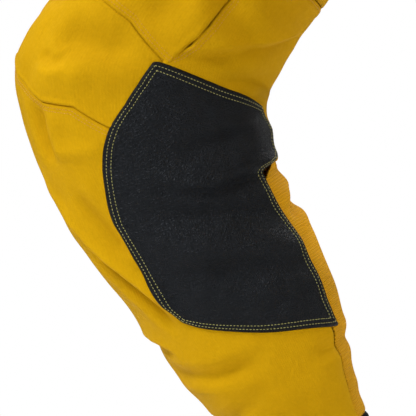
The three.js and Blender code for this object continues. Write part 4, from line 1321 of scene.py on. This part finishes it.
class PANTS_OT_tabs(bpy.types.Operator):
    """Makes the waist tab, the side straps, their patches and the belt loops"""

    bl_idname = "pants.tabs"
    bl_label = "Tabs, straps and loops"

    def execute(self, context):
        border = ["top", "bottom", "left", "right"]
        trim = [("roll", border, 1.2, 0.8), ("groove", border, 3, 0.35)]
        high, low = BUCKLE_MIDDLE - 18.5, BUCKLE_MIDDLE + 18.5
        sew("waist_tab", "waist", waist_patch(high, low, *TAB_ANGLES), "shell", "tab", 0.8, trim, lift=8.6, thick=2.2)
        sew(
            "waist_tab_root", "waist", waist_patch(high, low, TAB_ANGLES[1] + 1.2, TAB_ANGLES[1] + 9), "shell",
            "hips", 0.8, trim, lift=8.6, thick=6.0
        )
        for side in SIDES:
            turn = (lambda a, b: (a, b)) if side == "right" else (lambda a, b: (-b, -a))
            high, low = BUCKLE_MIDDLE - 12.5, BUCKLE_MIDDLE + 12.5
            start, stop = STRAP_ANGLES
            sew(
                side + "_adjuster_patch", "waist", waist_patch(high - 2, low + 2, *turn(start - 2, start + 20)),
                "tape", "hips", 0.8, [("roll", border, 1.2, 0.5)], lift=4.6, thick=1.1
            )
            sew(
                side + "_adjuster_tab", "waist", waist_patch(high, low, *turn(start, stop)), "elastic",
                side + "_adjuster", 0.7, [("roll", border, 1.0, 0.7)], lift=7.4, thick=1.9
            )
            sew(
                side + "_adjuster_anchor", "waist", waist_patch(high - 2, low + 2, *turn(stop + 1, stop + 12)),
                "shell", "hips", 0.8, trim, lift=5.8, thick=2.0
            )
            for angle, place in zip(LOOP_ANGLES, ("front", "back")):
                node = f"{side}_{place}_belt_loop"
                sew(
                    node, "waist", waist_patch(3, 53, *turn(angle - 2.3, angle + 2.3)), "shell", "hips", 0.7,
                    [
                        ("arch", 5.0, 9.0), ("roll", ["left", "right"], 1.0, 0.6),
                        ("groove", ["left", "right"], 2.4, 0.3)
                    ],
                    lift=4.4, thick=1.6
                )
        return {"FINISHED"}


ZIP_TOP, ZIP_FOOT = np.array([-121.4, 0, -50.0]), np.array([-128.0, 0, -150.0])
ZIP_LEAN = math.atan2(6.6, 100)


def softened(node, material, bevel):
    """The CAD node's own solid, merged, its edges rounded over."""
    source = frame_node(node)
    mesh = source.data.copy()
    obj = bpy.data.objects.new(node + "_metal", mesh)
    obj.matrix_world = source.matrix_world
    bpy.context.scene.collection.objects.link(obj)
    mesh.transform(source.matrix_world)
    obj.matrix_world.identity()
    work = bmesh.new()
    work.from_mesh(mesh)
    bmesh.ops.remove_doubles(work, verts=work.verts, dist=1e-6)
    bmesh.ops.dissolve_limit(work, angle_limit=0.02, verts=work.verts, edges=work.edges)
    work.to_mesh(mesh)
    work.free()
    modifier = obj.modifiers.new("edges", "BEVEL")
    modifier.width, modifier.segments, modifier.limit_method, modifier.angle_limit = bevel * MM, 2, "ANGLE", 0.5
    mesh.materials.clear()
    mesh.materials.append(FINISH[material])
    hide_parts(node)
    return obj


def frame_node(name):
    found = [o for o in bpy.data.objects if o.name == name and o.type == "MESH"]
    if not found:
        raise RuntimeError(f"there is no node {name}")
    return found[0]


class PANTS_OT_fly(bpy.types.Operator):
    """Makes the zip: two tapes with their teeth, the slider and its pull"""

    bl_idname = "pants.fly"
    bl_label = "Fly"

    def execute(self, context):
        size = context.scene.pants_sizes
        tree = row_tree("Zip Teeth", True)
        down = (ZIP_FOOT - ZIP_TOP) / np.linalg.norm(ZIP_FOOT - ZIP_TOP)
        out = np.array([-math.cos(ZIP_LEAN), 0, math.sin(ZIP_LEAN)])
        pitch = size.tooth_pitch / MM
        run = float(np.linalg.norm(ZIP_FOOT - ZIP_TOP)) - 0.6
        for side in SIDES:
            sign = POSES[side]["sign"]
            y = np.concatenate([np.linspace(0.9, 5.9, 12)]) * sign
            t = np.linspace(0.3, run, 90)
            place = ZIP_TOP + down * t[:, None, None] + np.array([0, 1, 0]) * y[None, :, None]
            ripple = 0.12 * np.sin(t * 2.4)[:, None, None]
            outer = place + out * (0.5 + ripple)
            inner = place - out * (0.7 + 0 * ripple)
            uv = np.stack(np.broadcast_arrays(y[None, :] * MM, t[:, None] * MM), -1)
            tape = walled_mesh(side + "_zip_tape_cloth", outer * MM, inner * MM, uv, np.full(outer.shape[:2], 0.5))
            tape.data.materials.append(FINISH["tape"])
            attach(tape, "hips")
            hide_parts(side + "_zip_tape")
            count = int((run - 2) / pitch)
            at = 1.2 + (np.arange(count) + (0.25 if sign > 0 else 0.75)) * pitch
            rows = np.concatenate(
                [
                    ZIP_TOP + down * at[:, None] + np.array([0, sign * 1.0, 0]) + out * 0.3,
                    np.tile(down, (count, 1)), np.tile(out, (count, 1))
                ],
                1
            )
            teeth = rows_to_mesh(side + "_zip_teeth", rows, tree, pitch * 0.44 * MM, 0.0030, 0.0014, FINISH["metal"])
            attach(teeth, "hips")
        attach(softened("zip_slider", "metal", 0.5), "slider")
        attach(softened("zip_pull", "metal", 0.35), "pull")
        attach(softened("snap_cap", "metal", 0.4), "tab")
        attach(softened("snap_post", "metal", 0.3), "hips")
        return {"FINISHED"}


# (thread, pieces' follow, [(panel, edge, distance in), ...]) for each side
LEG_ROWS = {
    "leather": (
        "leather thread", "knee",
        [("inner_knee_leather", e, d) for e in ("left", "right", "top", "bottom") for d in (4.0, 8.2)]
    ),
    "knee": (
        "seam thread", "knee",
        [
            ("shin_panel", "top", 4), ("shin_panel", "top", 7), ("shin_panel", "right", 3),
            ("shin_panel", "right", 8), ("back_knee_panel", "top", 3), ("back_knee_panel", "right", 3.5, 128),
            ("back_knee_panel", "right", 7, 128)
        ]
    ),
    "hip": (
        "seam thread", "hip",
        [
            ("front_thigh_panel", "bottom", 4), ("front_thigh_panel", "bottom", 7.5),
            ("front_thigh_panel", "right", 3), ("front_hip_panel", "right", 3), ("front_hip_panel", "right", 8),
            ("front_hip_panel", "bottom", 3), ("seat_panel", "right", 3), ("seat_panel", "right", 8),
            ("back_thigh_panel", "top", 3)
        ]
    ),
}
WAIST_ROWS = [
    (p, e, d) for p in (
        "right_front_waistband", "left_front_waistband", "right_front_yoke", "left_front_yoke", "back_yoke"
    ) for e,
    d in (("top", 3), ("bottom", 3), ("bottom", 7))
]
WAIST_ROWS += [(p, e, 3) for p in (
    "waist_tab_root", "right_adjuster_anchor", "left_adjuster_anchor"
) for e in ("top", "bottom", "left", "right")]
WAIST_ROWS += [(f"{s}_{p}_belt_loop", e, 2.4) for s in SIDES for p in ("front", "back") for e in ("left", "right")]


class PANTS_OT_stitching(bpy.types.Operator):
    """Lays a thread stitch at every place of the topstitched rows"""

    bl_idname = "pants.stitching"
    bl_label = "Stitching"

    def execute(self, context):
        size = context.scene.pants_sizes
        tree = row_tree("Topstitch", False)
        pitch = size.stitch_pitch / MM

        def lay(name, rows, thread):
            places = []
            for node, which, distance, *stop in rows:
                trim = (distance, distance) if node.endswith("leather") else (1.5, 1.5)
                places.append(stitch_row(
                    MADE[node].seam(which, distance, stop=stop[0] if stop else None, trim=trim), pitch
                ))
            places = np.concatenate(places)
            places[:, :3] += places[:, 6:9] * 0.12
            return rows_to_mesh(
                name, places, tree, size.stitch_length, size.thread_width, size.thread_width * 0.8, FINISH[thread]
            )

        for side in SIDES:
            for label, (thread, how, rows) in LEG_ROWS.items():
                obj = lay(f"{side}_{label}_stitches", [(f"{side}_{n}", *rest) for n, *rest in rows], thread)
                follow(obj, how)
        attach(lay("waist_stitches", WAIST_ROWS, "seam thread"), "hips")
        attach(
            lay("tab_stitches", [("waist_tab", e, 3) for e in ("top", "bottom", "left", "right")], "seam thread"),
            "tab"
        )
        return {"FINISHED"}


FLOOR_RADIUS, FLOOR_GAP, FLOOR_SIDES = 1.1, 0.004, 96
AIM = (-0.18, 0.1, -0.5)  # the middle of the right knee, which three of the lamps point at


class PANTS_OT_stage(bpy.types.Operator):
    """Sets the pale floor, the soft lights and the camera"""

    bl_idname = "pants.stage"
    bl_label = "Stage"

    def execute(self, context):
        scene = context.scene
        floor = CAD_BOX[0][2] - FLOOR_GAP
        mesh = bpy.data.meshes.new("stage")
        turns = np.linspace(0, 2 * math.pi, FLOOR_SIDES, endpoint=False)
        round_ = [(FLOOR_RADIUS * math.cos(a), FLOOR_RADIUS * math.sin(a), floor) for a in turns]
        mesh.from_pydata(round_, [], [tuple(range(FLOOR_SIDES))])
        stage = bpy.data.objects.new("stage", mesh)
        scene.collection.objects.link(stage)
        pale = bpy.data.materials.new("Pale floor")
        pale.use_nodes = True
        shader = pale.node_tree.nodes["Principled BSDF"]
        shader.inputs["Base Color"].default_value = (0.86, 0.86, 0.86, 1)
        shader.inputs["Roughness"].default_value = 0.9
        mesh.materials.append(pale)

        world = bpy.data.worlds.new("Studio")
        world.use_nodes = True
        tree = world.node_tree
        sky = tree.nodes["Background"]
        sky.inputs[0].default_value = (1, 1, 1, 1)
        seen = tree.nodes.new("ShaderNodeLightPath").outputs["Is Camera Ray"]
        strength = tree.nodes.new("ShaderNodeMapRange")
        strength.inputs["To Max"].default_value = 1.0
        tree.links.new(seen, strength.inputs["Value"])
        tree.links.new(strength.outputs[0], sky.inputs[1])
        # the room is bright overhead and dim to the sides, so that gloss shows which way a surface leans
        height = tree.nodes.new("ShaderNodeSeparateXYZ")
        tree.links.new(tree.nodes.new("ShaderNodeTexCoord").outputs["Generated"], height.inputs[0])
        ramp = tree.nodes.new("ShaderNodeMapRange")
        ramp.interpolation_type = "SMOOTHSTEP"
        for key, value in (("From Min", 0.05), ("From Max", 0.85), ("To Min", 0.03), ("To Max", 0.85)):
            ramp.inputs[key].default_value = value
        tree.links.new(height.outputs[2], ramp.inputs["Value"])
        tree.links.new(ramp.outputs[0], strength.inputs["To Min"])
        scene.world = world
        scene.view_settings.view_transform = "Standard"
        for name, place, aim, wide, power in (
            ("key", (-1.7, -0.9, 1.1), AIM, 0.7, 46.0),
            ("fill", (1.9, -0.75, 0.5), AIM, 1.1, 30.0),
            ("front", (-0.45, -2.1, 0.5), AIM, 0.45, 9.0),
            ("back", (0.6, 1.9, 1.5), (-0.1, 0.0, -0.3), 1.6, 30.0),
        ):
            light = bpy.data.lights.new(name, "AREA")
            light.size, light.energy = wide, power
            lamp = bpy.data.objects.new(name, light)
            lamp.location = place
            lamp.rotation_euler = (Vector(aim) - Vector(place)).to_track_quat("-Z", "Y").to_euler()
            scene.collection.objects.link(lamp)

        lens = bpy.data.cameras.new("camera")
        lens.sensor_width, lens.lens = 36.0, 36 * 2300 / 374.4
        lens.clip_end = 30
        camera = bpy.data.objects.new("camera", lens)
        camera.location = (-0.1823, -2.188, -0.5582)
        camera.rotation_euler = (math.pi / 2, 0, 0)
        scene.collection.objects.link(camera)
        scene.camera = camera
        return {"FINISHED"}


STEPS = (
    PANTS_OT_finishes, PANTS_OT_hips, PANTS_OT_thighs, PANTS_OT_knees, PANTS_OT_leather, PANTS_OT_shins, PANTS_OT_cuffs,
    PANTS_OT_waist, PANTS_OT_tabs, PANTS_OT_fly, PANTS_OT_stitching, PANTS_OT_stage,
)


class PANTS_PT_steps(bpy.types.Panel):
    """Lists the steps, and the sizes and colours that they use"""

    bl_idname = "PANTS_PT_steps"
    bl_label = "Riding Pants"
    bl_space_type = "VIEW_3D"
    bl_region_type = "UI"
    bl_category = "Pants"

    def draw(self, context):
        for step in STEPS:
            self.layout.operator(step.bl_idname)
        for group_ in (context.scene.pants_sizes, context.scene.pants_colours):
            box = self.layout.box()
            for key in group_.__annotations__:
                box.prop(group_, key)


CLASSES = (PantsSizes, PantsColours, *STEPS, PANTS_PT_steps)


def register():
    for c in CLASSES:
        bpy.utils.register_class(c)
    bpy.types.Scene.pants_sizes = PointerProperty(type=PantsSizes)
    bpy.types.Scene.pants_colours = PointerProperty(type=PantsColours)


def unregister():
    del bpy.types.Scene.pants_colours
    del bpy.types.Scene.pants_sizes
    for c in reversed(CLASSES):
        bpy.utils.unregister_class(c)


def main():
    register()
    for step in STEPS:
        family, name = step.bl_idname.split(".")
        getattr(getattr(bpy.ops, family), name)()


if __name__ == "__main__":
    main()
